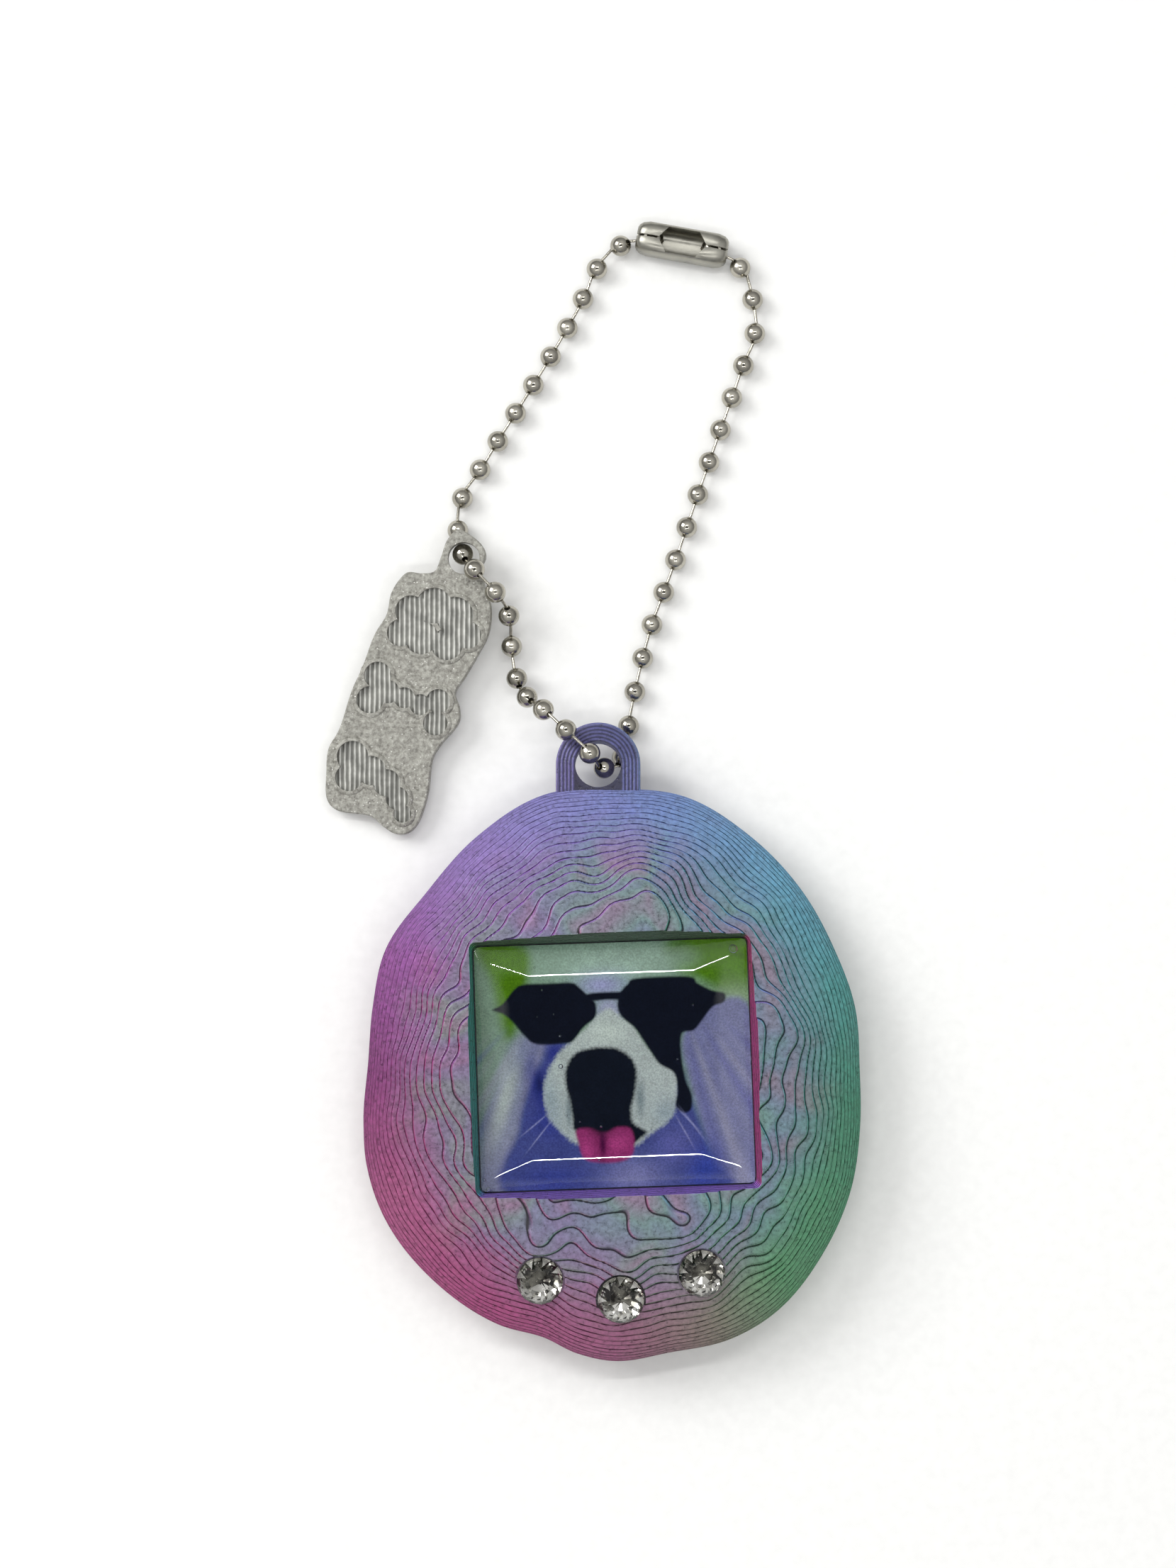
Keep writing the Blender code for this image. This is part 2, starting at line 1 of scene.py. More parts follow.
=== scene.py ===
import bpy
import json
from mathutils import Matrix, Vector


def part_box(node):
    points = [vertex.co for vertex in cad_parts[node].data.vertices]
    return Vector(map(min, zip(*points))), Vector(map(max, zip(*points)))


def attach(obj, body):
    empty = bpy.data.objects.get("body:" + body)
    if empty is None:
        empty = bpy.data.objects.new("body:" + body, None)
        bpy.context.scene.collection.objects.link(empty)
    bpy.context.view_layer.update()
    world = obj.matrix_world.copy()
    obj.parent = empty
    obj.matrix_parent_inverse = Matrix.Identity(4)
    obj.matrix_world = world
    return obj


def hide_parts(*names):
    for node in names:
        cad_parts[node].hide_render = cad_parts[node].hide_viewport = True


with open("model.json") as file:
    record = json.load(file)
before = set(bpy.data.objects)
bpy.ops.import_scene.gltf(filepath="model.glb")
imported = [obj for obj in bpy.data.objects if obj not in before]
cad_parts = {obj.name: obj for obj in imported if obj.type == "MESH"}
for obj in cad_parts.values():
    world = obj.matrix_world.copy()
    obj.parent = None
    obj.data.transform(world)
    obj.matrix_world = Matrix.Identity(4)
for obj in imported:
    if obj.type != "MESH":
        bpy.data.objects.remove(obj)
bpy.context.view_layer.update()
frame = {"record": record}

# %% [markdown]
# An egg-shaped printed charm lies on its back on a pale table, with its ball chain and a small tag
# spread out above it. The engineering model is already loaded and gives every place and size. This
# lesson gives each piece the shape and finish that the eye expects: stepped print layers, a picture
# under a resin dome, foiled glass stones, and bright nickel beads. Sizes are in millimetres until the
# last moment, and MM turns them into metres.

# %% Tools, and the box that everything stays inside
import json
import math

import bmesh
import bpy
import numpy as np
from mathutils import Matrix, Vector

MM = 0.001

# %% [markdown]
# A few small helpers carry the whole scene. linear turns a hex colour, as a painter would pick it, into
# the numbers that a renderer mixes with. node adds a shader node together with its links, so a finish
# reads as a short list, and plug makes one link more. piece makes an object from points and faces, and
# skin makes those for a body that is built up ring by ring. settle takes an object's modifiers into its
# mesh, and cut uses it to carve or join solids, so that later steps find real points to work on.

# %% Colour, node and mesh helpers
def linear(code):
    """An sRGB hex colour as linear red, green, blue and alpha."""
    parts = [int(code[k:k + 2], 16) / 255 for k in (1, 3, 5)]
    return [c / 12.92 if c <= 0.04045 else ((c + 0.055) / 1.055) ** 2.4 for c in parts] + [1.0]


def node(mat, kind, inputs=None, stops=None, **settings):
    """Adds one shader node. An input takes a value, or another node's output to link from."""
    made = mat.node_tree.nodes.new("ShaderNode" + kind)
    for key, value in settings.items():
        setattr(made, key, value)
    for key, value in (inputs or {}).items():
        if isinstance(value, bpy.types.NodeSocket):
            mat.node_tree.links.new(value, made.inputs[key])
        else:
            made.inputs[key].default_value = value
    for k, (place, code) in enumerate(stops or []):
        if k >= len(made.color_ramp.elements):
            made.color_ramp.elements.new(place)
        made.color_ramp.elements[k].position = place
        made.color_ramp.elements[k].color = linear(code)
    return made


def finish(name):
    """A new material, and its Principled shader."""
    mat = bpy.data.materials.new(name)
    mat.use_nodes = True
    return mat, mat.node_tree.nodes["Principled BSDF"]


def plug(output, taker, name):
    """Links a node's output to a named input of another node."""
    taker.id_data.links.new(output, taker.inputs[name])


def piece(name, points, faces, mat, smooth=30):
    """An object from points in millimetres, shaded smooth except across edges sharper than smooth."""
    mesh = bpy.data.meshes.new(name)
    mesh.from_pydata([(x * MM, y * MM, z * MM) for x, y, z in points], [], faces)
    work = bmesh.new()
    work.from_mesh(mesh)
    bmesh.ops.recalc_face_normals(work, faces=work.faces)
    work.to_mesh(mesh)
    work.free()
    mesh.materials.append(mat)
    made = bpy.data.objects.new(name, mesh)
    bpy.context.scene.collection.objects.link(made)
    if smooth:
        mesh.shade_smooth()
        mesh.set_sharp_from_angle(angle=math.radians(smooth))
    return made


def settle(obj, smooth=30):
    """Takes an object's modifiers into its mesh."""
    shapes = bpy.context.evaluated_depsgraph_get()
    mesh = bpy.data.meshes.new_from_object(obj.evaluated_get(shapes))
    obj.modifiers.clear()
    obj.data = mesh
    if smooth:
        mesh.shade_smooth()
        mesh.set_sharp_from_angle(angle=math.radians(smooth))


def skin(rings, closed=True):
    """Points and faces of a skin over rings of equally many points, with an end face on each side."""
    n = len(rings[0])
    faces = [
        (k * n + i, k * n + (i + 1) % n, (k + 1) * n + (i + 1) % n, (k + 1) * n + i)
        for k in range(len(rings) - 1) for i in range(n)
    ]
    if closed:
        faces.append(tuple(range(n))[::-1])
        faces.append(tuple(range((len(rings) - 1) * n, len(rings) * n)))
    return [p for ring in rings for p in ring], faces


def cut(obj, *tools, operation="DIFFERENCE"):
    """Takes helper shapes away from a solid, or joins them on, and then throws the helpers away."""
    for tool in tools:
        change = obj.modifiers.new(tool.name, "BOOLEAN")
        change.operation = operation
        change.solver = "MANIFOLD"
        change.object = tool
    settle(obj)
    for tool in tools:
        bpy.data.objects.remove(tool, do_unlink=True)


print("helpers ready")

# %% [markdown]
# The egg is one print in a silk filament that is wound from several colours. Each colour keeps to its
# own side of the line that the nozzle lays, so the egg changes hue with the direction a wall faces:
# magenta to the left, violet and blue at the top, green to the right. The same happens inside the
# window, where the wall on the right faces left and so is magenta. A ramp over the normal's compass
# direction gives exactly that, and it holds from every side. Flat steps face up and show a dusty mix.

# %% Silk filament print: hue by facing direction, painted shade in the grooves between layers
LAYER = 0.28
HALF_WIDTH, HALF_LENGTH = 0.0229, 0.0262  # about the egg's, in metres, as shader coordinates are


def silk_print(name, drift):
    """Silk multi-colour filament print. drift moves its cloudy patches, so no two parts match."""
    mat, shader = finish(name)
    place = node(mat, "TexCoord")
    facing = node(mat, "SeparateXYZ", {0: place.outputs["Normal"]})
    compass = node(mat, "Math", {0: facing.outputs[1], 1: facing.outputs[0]}, operation="ARCTAN2")
    turn = node(mat, "MapRange", {0: compass.outputs[0], 1: -math.pi, 2: math.pi})
    # Saturated walls, from facing left, round by facing the viewer's feet, right and up.
    # Walls that face the viewer's feet get a dark green: the strand's green, with painted shade in it.
    wall = node(mat, "ValToRGB", {0: turn.outputs[0]}, stops=[
        (0.0, "#9c2f6b"), (0.13, "#a03a74"), (0.22, "#4a5648"), (0.28, "#3c5a48"), (0.37, "#3f8058"),
        (0.50, "#2f8078"), (0.60, "#4497a0"), (0.68, "#5a78c0"), (0.75, "#7a5cb4"), (0.87, "#8f55b4"),
        (1.0, "#9c2f6b"),
    ])
    # The broad side of the egg, seen whole: the same strand order, by place round the egg.
    spot = node(mat, "SeparateXYZ", {0: place.outputs["Object"]})
    bearing = node(mat, "Math", {0: spot.outputs[1], 1: spot.outputs[0]}, operation="ARCTAN2")
    around = node(mat, "MapRange", {0: bearing.outputs[0], 1: -math.pi, 2: math.pi})
    flank = node(mat, "ValToRGB", {0: around.outputs[0]}, stops=[
        (0.0, "#762868"), (0.08, "#94446f"), (0.17, "#8c3064"), (0.25, "#7f4464"), (0.31, "#6a6658"),
        (0.36, "#417c50"), (0.48, "#34785c"), (0.56, "#3c8280"), (0.64, "#5288a4"), (0.74, "#6270a8"),
        (0.84, "#7c66a4"), (0.92, "#824088"), (1.0, "#762868"),
    ])
    level_out = node(mat, "VectorMath", {0: place.outputs["Object"],
                                         1: (1 / HALF_WIDTH, 1 / HALF_LENGTH, 0.0)}, operation="MULTIPLY")
    reach = node(mat, "VectorMath", {0: level_out.outputs[0]}, operation="LENGTH")
    flank_share = node(mat, "MapRange", {0: reach.outputs["Value"], 1: 0.72, 2: 0.93, 3: 0.0, 4: 0.9})
    # Steps that face up: patches of mauve, slate blue, dusty teal and pink, a few millimetres wide.
    patch = node(mat, "TexNoise", {"Vector": place.outputs["Object"], "Scale": 150.0 + drift,
                                   "Detail": 2.0, "Distortion": 0.6})
    step = node(mat, "ValToRGB", {0: patch.outputs[0]}, stops=[
        (0.30, "#845472"), (0.42, "#686284"), (0.50, "#5e7080"), (0.58, "#5e8270"), (0.70, "#855c74"),
    ])
    # The patches lean pink on the left half of the egg and blue-green on the right half.
    side = node(mat, "MapRange", {0: spot.outputs[0], 1: -0.022, 2: 0.022})
    lean = node(mat, "ValToRGB", {0: side.outputs[0]}, stops=[
        (0.0, "#865270"), (0.35, "#706484"), (0.65, "#607280"), (1.0, "#507a78"),
    ])
    upper = node(mat, "Mix", {0: 0.5, 6: step.outputs[0], 7: lean.outputs[0]}, data_type="RGBA")
    # Towards the foot of the egg, round the stones, the magenta strand of the filament wins.
    foot = node(mat, "MapRange", {0: spot.outputs[1], 1: -0.014, 2: -0.023, 3: 0.0, 4: 0.65})
    top = node(mat, "Mix", {0: foot.outputs[0], 6: upper.outputs[2], 7: linear("#864c6c")},
               data_type="RGBA")
    # How steep the surface is, from 0 on a flat step to 1 on a wall.
    steep = node(mat, "MapRange", {0: facing.outputs[2], 1: 0.95, 2: 0.60})
    stepped = node(mat, "Mix", {0: steep.outputs[0], 6: top.outputs[2], 7: wall.outputs[0]},
                   data_type="RGBA")
    hue = node(mat, "Mix", {0: flank_share.outputs[0], 6: stepped.outputs[2], 7: flank.outputs[0]},
               data_type="RGBA")
    # Every layer ends in a groove of painted shade. Height over layer height gives its place within the
    # layer.
    level = node(mat, "Math", {0: spot.outputs[2], 1: 1 / (LAYER * MM)}, operation="MULTIPLY")
    within = node(mat, "Math", {0: level.outputs[0]}, operation="FRACT")
    groove_shade = node(mat, "ValToRGB", {0: within.outputs[0]}, stops=[
        (0.0, "#ffffff"), (0.04, "#ffffff"), (0.13, "#241824"), (0.24, "#3a2a3a"), (0.45, "#e6d8e4"),
        (0.75, "#ffffff"), (1.0, "#ffffff"),
    ])
    # The painted groove shade is strongest on the nearly flat front, and softens on the walls.
    depth = node(mat, "MapRange", {0: steep.outputs[0], 3: 0.95, 4: 0.45})
    groove_shaded = node(mat, "Mix", {0: depth.outputs[0], 6: hue.outputs[2], 7: groove_shade.outputs[0]},
                 data_type="RGBA", blend_type="MULTIPLY")
    # The nozzle's zigzag leaves a fine woven speckle, light and dark, about 0.35 mm across.
    grain = node(mat, "TexNoise", {"Vector": place.outputs["Object"], "Scale": 2600.0,
                                   "Detail": 3.0, "Roughness": 0.65})
    speck = node(mat, "MapRange", {0: grain.outputs[0], 1: 0.3, 2: 0.7, 3: 0.66, 4: 1.36})
    colour = node(mat, "Mix", {0: 1.0, 6: groove_shaded.outputs[2], 7: speck.outputs[0]},
                  data_type="RGBA", blend_type="MULTIPLY")
    plug(colour.outputs[2], shader, "Base Color")
    gloss = node(mat, "MapRange", {0: grain.outputs[0], 1: 0.3, 2: 0.7, 3: 0.24, 4: 0.48})
    plug(gloss.outputs[0], shader, "Roughness")
    # Rounded layer edges and the speckle as relief. The wave has one crest for each layer.
    crest = node(mat, "Math", {0: within.outputs[0], 1: math.pi}, operation="MULTIPLY")
    bead = node(mat, "Math", {0: crest.outputs[0]}, operation="SINE")
    ridged = node(mat, "Math", {0: bead.outputs[0], 1: steep.outputs[0]}, operation="MULTIPLY")
    relief = node(mat, "Bump", {"Height": ridged.outputs[0], "Strength": 1.0, "Distance": 0.00016})
    rough = node(mat, "Bump", {"Height": grain.outputs[0], "Strength": 0.55, "Distance": 0.00008,
                               "Normal": relief.outputs[0]})
    plug(rough.outputs[0], shader, "Normal")
    shader.inputs["IOR"].default_value = 1.46
    shader.inputs["Specular IOR Level"].default_value = 0.75
    shader.inputs["Metallic"].default_value = 0.35
    return mat


EGG_PRINT = silk_print("silk_multicolour_filament_print", 0.0)
EYELET_PRINT = silk_print("silk_filament_print_eyelet", 160.0)
print("made", EGG_PRINT.name, "and", EYELET_PRINT.name)

# %% [markdown]
# The egg's front is a low dome with hammered hills and hollows. A printer can only build it in flat
# layers, so a gentle slope turns into terraces like the contour lines of a map. The shape is worked out
# in two steps: a smooth height for every place, and then that height rounded down to whole layers with
# a short, soft riser at each step. A ring grid round the middle follows the outline with few points.

# %% The egg's outline, hills and terraces
EGG_OUTLINE = [
    (0.0, 26.5), (6.6, 25.8), (12.6, 22.2), (17.6, 16.9), (20.5, 11.6), (22.4, 6.2), (22.8, 0.5),
    (22.8, -5.0), (21.8, -11.1), (19.4, -16.4), (15.2, -21.7), (10.7, -24.4), (5.2, -25.6),
    (0.3, -26.4), (-3.4, -25.7), (-6.6, -24.2), (-10.8, -23.0), (-16.6, -19.1), (-21.0, -13.7),
    (-22.9, -8.4), (-23.2, -4.5), (-22.8, 1.0), (-22.4, 6.2), (-21.2, 11.6), (-17.4, 16.9),
    (-12.6, 22.2), (-6.4, 26.0),
]
EDGE_LOW, EDGE_HIGH, CROWN = 4.9, 5.7, 6.1
HILLS = [
    (2.0, 16.5, 4.6, 0.90), (-8.0, 15.0, 4.2, 0.35), (-3.0, 22.0, 3.4, -0.35), (12.5, 17.5, 4.0, -0.45),
    (4.4, -14.4, 3.2, 0.50), (-6.5, -15.0, 4.0, 0.40), (-17.5, 1.0, 4.8, 0.40), (16.8, 3.0, 4.0, 0.40),
    (-12.5, 19.5, 5.0, -0.60), (20.0, 9.5, 4.6, -0.50), (-20.0, 8.5, 3.8, -0.60),
    (-19.0, -13.5, 4.6, -0.55), (-8.0, -23.5, 3.6, -0.60), (12.5, -21.5, 4.2, -0.55),
    (20.5, -9.5, 4.4, 0.35),
]
# Ripples that make the contour lines wander: direction in degrees, wavelength and height.
RIPPLES = [(20, 7.5, 0.10), (75, 6.2, 0.09), (130, 8.4, 0.10), (160, 4.1, 0.05), (48, 3.4, 0.035)]


def outline_radius(angles):
    """Distance from the egg's middle to its outline, on a smooth curve through the outline's points."""
    points = sorted((math.atan2(y, x), math.hypot(x, y)) for x, y in EGG_OUTLINE)
    turn = 2 * math.pi
    a = np.array([p[0] + k * turn for k in (-1, 0, 1) for p in points])
    r = np.array([p[1] for _ in range(3) for p in points])
    slope = np.gradient(r)
    slope[1:-1] = (r[2:] - r[:-2]) / (a[2:] - a[:-2])
    angles = (np.asarray(angles) + math.pi) % turn - math.pi
    i = np.searchsorted(a, angles, side="right") - 1
    span = a[i + 1] - a[i]
    t = (angles - a[i]) / span
    return ((2 * t**3 - 3 * t**2 + 1) * r[i] + (t**3 - 2 * t**2 + t) * span * slope[i]
            + (3 * t**2 - 2 * t**3) * r[i + 1] + (t**3 - t**2) * span * slope[i + 1])


def smooth_front(x, y, rho):
    """The front before it is cut into layers."""
    z = EDGE_HIGH + CROWN * (1 - rho**2.6) ** 0.62
    fade = 1 - rho**6
    for hx, hy, r, h in HILLS:
        z = z + fade * h * np.exp(-((x - hx) ** 2 + (y - hy) ** 2) / (r * r))
    for degrees, length, height in RIPPLES:
        a = math.radians(degrees)
        bend = 0.8 * np.sin(2 * math.pi * (y * math.cos(a) - x * math.sin(a)) / (1.7 * length))
        z = z + fade * height * np.sin(2 * math.pi * (x * math.cos(a) + y * math.sin(a)) / length + bend)
    return z


def in_layers(z, riser=0.20):
    """Height rounded down to whole layers, with a soft riser that takes up the given share."""
    t = z / LAYER
    whole = np.floor(t)
    s = np.clip((t - whole - (1 - riser)) / riser, 0, 1)
    return LAYER * (whole + s * s * (3 - 2 * s))


print("crown of the smooth front, mm:", round(float(smooth_front(2.0, 16.5, 0.63)), 2))

# %% Build the egg's skin
AROUND = 720
FRONT = 250
BACK_FLAT, BACK_ROUND, BACK_RINGS = 0.72, 0.28, 14
FRONT_TOP = 11.55
angles = np.linspace(0, 2 * math.pi, AROUND, endpoint=False)
edge = outline_radius(angles)
rings = []
back_shares = list(np.linspace(0.12, BACK_FLAT, 6))
back_shares += [BACK_FLAT + BACK_ROUND * math.sin(math.pi / 2 * k / BACK_RINGS)
                for k in range(1, BACK_RINGS + 1)]
for rho in back_shares:
    t = max(0.0, (rho - BACK_FLAT) / BACK_ROUND)
    z = EDGE_LOW * (1 - math.sqrt(max(0.0, 1 - t * t)))
    rings.append(np.stack([rho * edge * np.cos(angles), rho * edge * np.sin(angles),
                           np.full(AROUND, z)], 1))
for rho in np.sin(np.linspace(math.pi / 2, 0.06, FRONT)):
    x, y = rho * edge * np.cos(angles), rho * edge * np.sin(angles)
    z = np.maximum(in_layers(np.minimum(smooth_front(x, y, rho), FRONT_TOP)), EDGE_HIGH - 0.1)
    rings.append(np.stack([x, y, z], 1))
points, faces = skin([[tuple(p) for p in ring] for ring in rings])
egg = piece("egg_print", points, faces, EGG_PRINT, smooth=0)
print("egg skin:", len(points), "points")

# %% [markdown]
# The window is a shallow well with straight walls that open a little towards the front, and each
# stone has a round seat. Cutting them from the finished skin with a boolean keeps the terraces running
# up to a crisp edge, as a slicer would make them.

# %% Cut the window and the seats of the stones
WINDOW_CENTRE, WINDOW, WINDOW_TURN, FLOOR = (0.0, 0.8), (25.4, 22.7), math.radians(2.0), 7.9
STONES = {"left": (-6.8, -18.9), "middle": (0.6, -20.6), "right": (8.0, -18.2)}
SEAT_RADIUS = 2.3


def in_window(u, v):
    """The place u right and v up from the window's middle, turned as the window sits in the egg."""
    c, s = math.cos(WINDOW_TURN), math.sin(WINDOW_TURN)
    return WINDOW_CENTRE[0] + c * u - s * v, WINDOW_CENTRE[1] + s * u + c * v


def window_outline(inset, radius=0.6, steps=6):
    """The window's rounded rectangle, drawn in by inset all round."""
    half = [w / 2 - inset - radius for w in WINDOW]
    out = []
    for sx, sy, start in ((1, 1, 0), (-1, 1, 90), (-1, -1, 180), (1, -1, 270)):
        for k in range(steps + 1):
            a = math.radians(start + 90 * k / steps)
            out.append(in_window(sx * half[0] + radius * math.cos(a), sy * half[1] + radius * math.sin(a)))
    return out


def slab(name, levels, mat=EGG_PRINT):
    """A closed solid through outlines at rising heights: (outline, height) pairs."""
    rings = [[(x, y, z) for x, y in outline] for outline, z in levels]
    return piece(name, *skin(rings), mat, smooth=0)


def ring_of(x, y, r, steps=48):
    """Points round a circle."""
    return [(x + r * math.cos(2 * math.pi * k / steps), y + r * math.sin(2 * math.pi * k / steps))
            for k in range(steps)]


tools = [slab("window_tool", [(window_outline(0.0), FLOOR), (window_outline(-0.02), FLOOR + 1.4),
                              (window_outline(-0.70), FLOOR + 3.5), (window_outline(-0.75), FLOOR + 6)])]
for side_name, (x, y) in STONES.items():
    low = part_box("stone_" + side_name)[0][2] / MM - 0.05
    seat = ring_of(x, y, SEAT_RADIUS)
    tools.append(slab("seat_tool_" + side_name, [(seat, low), (seat, low + 5)]))
cut(egg, *tools)
egg.data.shade_smooth()
egg.data.set_sharp_from_angle(angle=math.radians(50))
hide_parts("egg_body")
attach(egg, "egg")
print("egg after cutting:", len(egg.data.vertices), "points")

# %% [markdown]
# The hanging eye is part of the same print: a flat ring on two straight legs that run into the egg.
# Its top shows the loops that the nozzle made round the hole, so it gets real shallow ridges.

# %% The hanging eye
EYE, EYE_RADIUS, EYE_HOLE, EYE_LOW, EYE_HIGH = (-1.45, 28.8), 3.95, 2.15, 3.4, 6.0
LEG, LOOP_WIDTH, BEVEL = 5.6, 0.17, 0.22


def eye_outline(r):
    """The ring's edge at distance r from the hole's middle, with legs that reach into the egg."""
    arc = [(EYE[0] + r * math.cos(math.pi * k / 40), EYE[1] + r * math.sin(math.pi * k / 40))
           for k in range(41)]
    left = [(EYE[0] - r, EYE[1] - LEG * k / 10) for k in range(1, 11)]
    foot = [(EYE[0] - r + 2 * r * k / 40, EYE[1] - LEG) for k in range(1, 40)]
    right = [(EYE[0] + r, EYE[1] - LEG + LEG * k / 10) for k in range(0, 10)]
    return arc + left + foot + right


levels = [(eye_outline(EYE_RADIUS - 0.25), EYE_LOW), (eye_outline(EYE_RADIUS), EYE_LOW + BEVEL)]
levels += [(eye_outline(EYE_RADIUS - 0.03 * (k % 2)), EYE_LOW + BEVEL + 0.14 * k) for k in range(1, 16)]
levels += [(eye_outline(EYE_RADIUS - BEVEL), EYE_HIGH)]
for k in range(1, 10):
    levels.append((eye_outline(EYE_RADIUS - BEVEL - LOOP_WIDTH * k), EYE_HIGH - 0.05 * (k % 2)))
eye = slab("egg_hanging_eye", levels, EYELET_PRINT)
cut(eye, slab("eye_hole_tool", [(ring_of(*EYE, EYE_HOLE, 72), 0), (ring_of(*EYE, EYE_HOLE, 72), 12)]))
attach(eye, "egg")
print("hanging eye:", len(eye.data.vertices), "points")

# %% [markdown]
# The picture is an ink print of a dog in sunglasses, glued to the window's floor. Printed ink has soft
# edges and a fine grain, and a drawn texture keeps it sharp at any size. A fine grid of points carries
# the colours: each shape is a listed outline, and a point takes its colour by how far inside the
# outline it lies. The shapes are laid over each other from the background forwards, as in painting.

# %% The paint box
def smooth_loop(outline, per_span=5):
    """A smooth closed line (a Catmull-Rom spline) through given points."""
    p = np.array(outline, float)
    a, b, c, d = np.roll(p, 1, 0), p, np.roll(p, -1, 0), np.roll(p, -2, 0)
    spans = []
    for k in range(per_span):
        t = k / per_span
        spans.append(0.5 * (2 * b + (c - a) * t + (2 * a - 5 * b + 4 * c - d) * t**2
                            + (3 * b - 3 * c + d - a) * t**3))
    return np.stack(spans, 1).reshape(-1, 2)


def within_outline(u, v, outline, soft, fur=0.0):
    """How far each place is inside an outline: 0 outside, 1 inside, over an edge soft mm wide. fur
    makes the edge uneven by that many mm, in short tufts."""
    loop = smooth_loop(outline)
    nxt = np.roll(loop, -1, 0)
    best = np.full(u.shape, 1e9)
    odd = np.zeros(u.shape, bool)
    for (ax, ay), (bx, by) in zip(loop, nxt):
        ex, ey = bx - ax, by - ay
        t = np.clip(((u - ax) * ex + (v - ay) * ey) / (ex * ex + ey * ey + 1e-12), 0, 1)
        best = np.minimum(best, np.hypot(u - ax - t * ex, v - ay - t * ey))
        odd ^= ((ay > v) != (by > v)) & (u < ex * (v - ay) / (ey + 1e-12) + ax)
    depth = np.where(odd, best, -best)
    if fur:
        tufts = np.sin(9.0 * u + 3.0 * np.sin(4.0 * v)) * np.sin(8.0 * v + 2.0 * np.sin(5.0 * u))
        depth = depth + fur * tufts
    s = np.clip(depth / soft + 0.5, 0, 1)
    return s * s * (3 - 2 * s)


def lay(paint, colour, share):
    """Lays a colour over the painting, as strong as share at each place."""
    return paint + share[..., None] * (np.array(linear(colour)[:3]) - paint)


def hill(u, v, x, y, rx, ry, lean=0.0):
    """A soft round patch, 1 in its middle."""
    a = math.radians(lean)
    p, q = (u - x) * math.cos(a) + (v - y) * math.sin(a), (v - y) * math.cos(a) - (u - x) * math.sin(a)
    return np.exp(-((p / rx) ** 2) - (q / ry) ** 2)


def two_hills(u, v, one, other):
    """Two soft patches that join, and are never stronger than 1."""
    return np.clip(hill(u, v, *one) + hill(u, v, *other), 0, 1)


# %% Paint the dog, the drapes behind it and the sunglasses
LEFT_LENS = [
    (-10.9, 5.4), (-10.0, 5.9), (-8.9, 7.2), (-8.0, 7.6), (-5.8, 7.6), (-3.7, 7.6), (-3.0, 7.2),
    (-2.1, 6.3), (-1.5, 5.6), (-1.6, 4.4), (-2.7, 3.5), (-3.6, 2.4), (-4.4, 2.1), (-7.0, 2.1),
    (-8.1, 2.9), (-9.2, 4.3), (-10.0, 5.0),
]
RIGHT_LENS = [
    (0.7, 6.4), (1.5, 7.3), (2.4, 7.8), (7.1, 7.8), (7.9, 7.2), (9.2, 6.5), (10.3, 6.2), (10.2, 5.4),
    (9.2, 5.0), (8.2, 3.8), (7.4, 2.9), (6.3, 2.6), (6.2, 0.6), (6.5, -1.6), (7.0, -3.0), (6.9, -4.3),
    (6.2, -4.6), (5.5, -4.0), (5.7, -2.7), (5.5, -1.0), (4.2, -0.1), (3.5, 0.9), (2.7, 2.2),
    (2.0, 3.3), (0.9, 4.3), (0.5, 5.2),
]
BRIDGE = [(-2.3, 6.5), (-0.3, 6.65), (1.8, 6.5), (1.7, 5.9), (-0.4, 5.95), (-1.9, 5.9)]
MUZZLE = [
    (-0.4, 5.2), (-1.4, 4.5), (-2.4, 3.5), (-4.4, 1.8), (-5.4, 0.8), (-6.2, -0.8), (-6.5, -2.2),
    (-6.4, -3.6), (-5.9, -5.0), (-4.8, -6.2), (-3.2, -7.2), (1.5, -7.4), (2.8, -6.6), (4.4, -5.6),
    (5.4, -4.4), (5.7, -3.0), (5.8, -1.4), (5.3, -0.3), (4.2, 0.2), (3.1, 1.5), (2.0, 3.3), (0.7, 4.4),
]
NOSE = [
    (-4.4, -0.2), (-3.8, 0.9), (-2.6, 1.5), (-0.4, 1.6), (1.0, 1.1), (1.9, 0.0), (2.0, -1.4),
    (1.7, -2.9), (1.4, -4.2), (1.6, -5.4), (2.8, -6.2), (2.0, -6.9), (1.1, -7.3), (-1.4, -6.5),
    (-3.7, -6.0), (-4.0, -4.6), (-4.2, -3.1), (-4.5, -1.6),
]
TONGUE = [(-3.7, -5.9), (-3.5, -7.1), (-3.0, -8.4), (-1.7, -8.8), (0.2, -8.8), (1.3, -8.3), (1.6, -7.2),
          (1.3, -5.9), (0.1, -5.7), (-1.1, -6.1), (-2.5, -5.7)]
DRAPES = [(-3.9, 2.2), (-5.6, 2.2), (-6.8, 0.2), (-8.2, -2.6), (-9.0, -5.8), (-9.8, -11.6), (9.4, -11.8),
          (8.6, -8.4), (7.6, -5.0), (6.6, -2.6), (5.5, -0.4), (0.0, 1.0)]
LEFT_LEAVES = [(-12.3, 11.3), (-7.9, 10.9), (-7.6, 8.2), (-8.6, 5.4), (-8.8, 2.9), (-9.8, 2.7),
               (-10.4, 5.2), (-11.0, 8.2)]
RIGHT_LEAVES = [(5.6, 11.2), (12.4, 11.8), (12.4, 6.0), (10.4, 6.2), (7.9, 7.6), (6.0, 8.6)]
RIGHT_VEIL = [(9.2, 5.4), (12.8, 4.0), (12.8, -12.0), (9.6, -12.0), (7.9, -6.0), (6.7, -1.0), (6.4, 2.4)]
LEFT_VEIL = [(-8.6, 2.9), (-5.4, 2.4), (-7.6, -2.2), (-9.2, -6.6), (-9.9, -12.0), (-12.6, -12.0),
             (-12.2, -6.0), (-10.6, -1.0)]

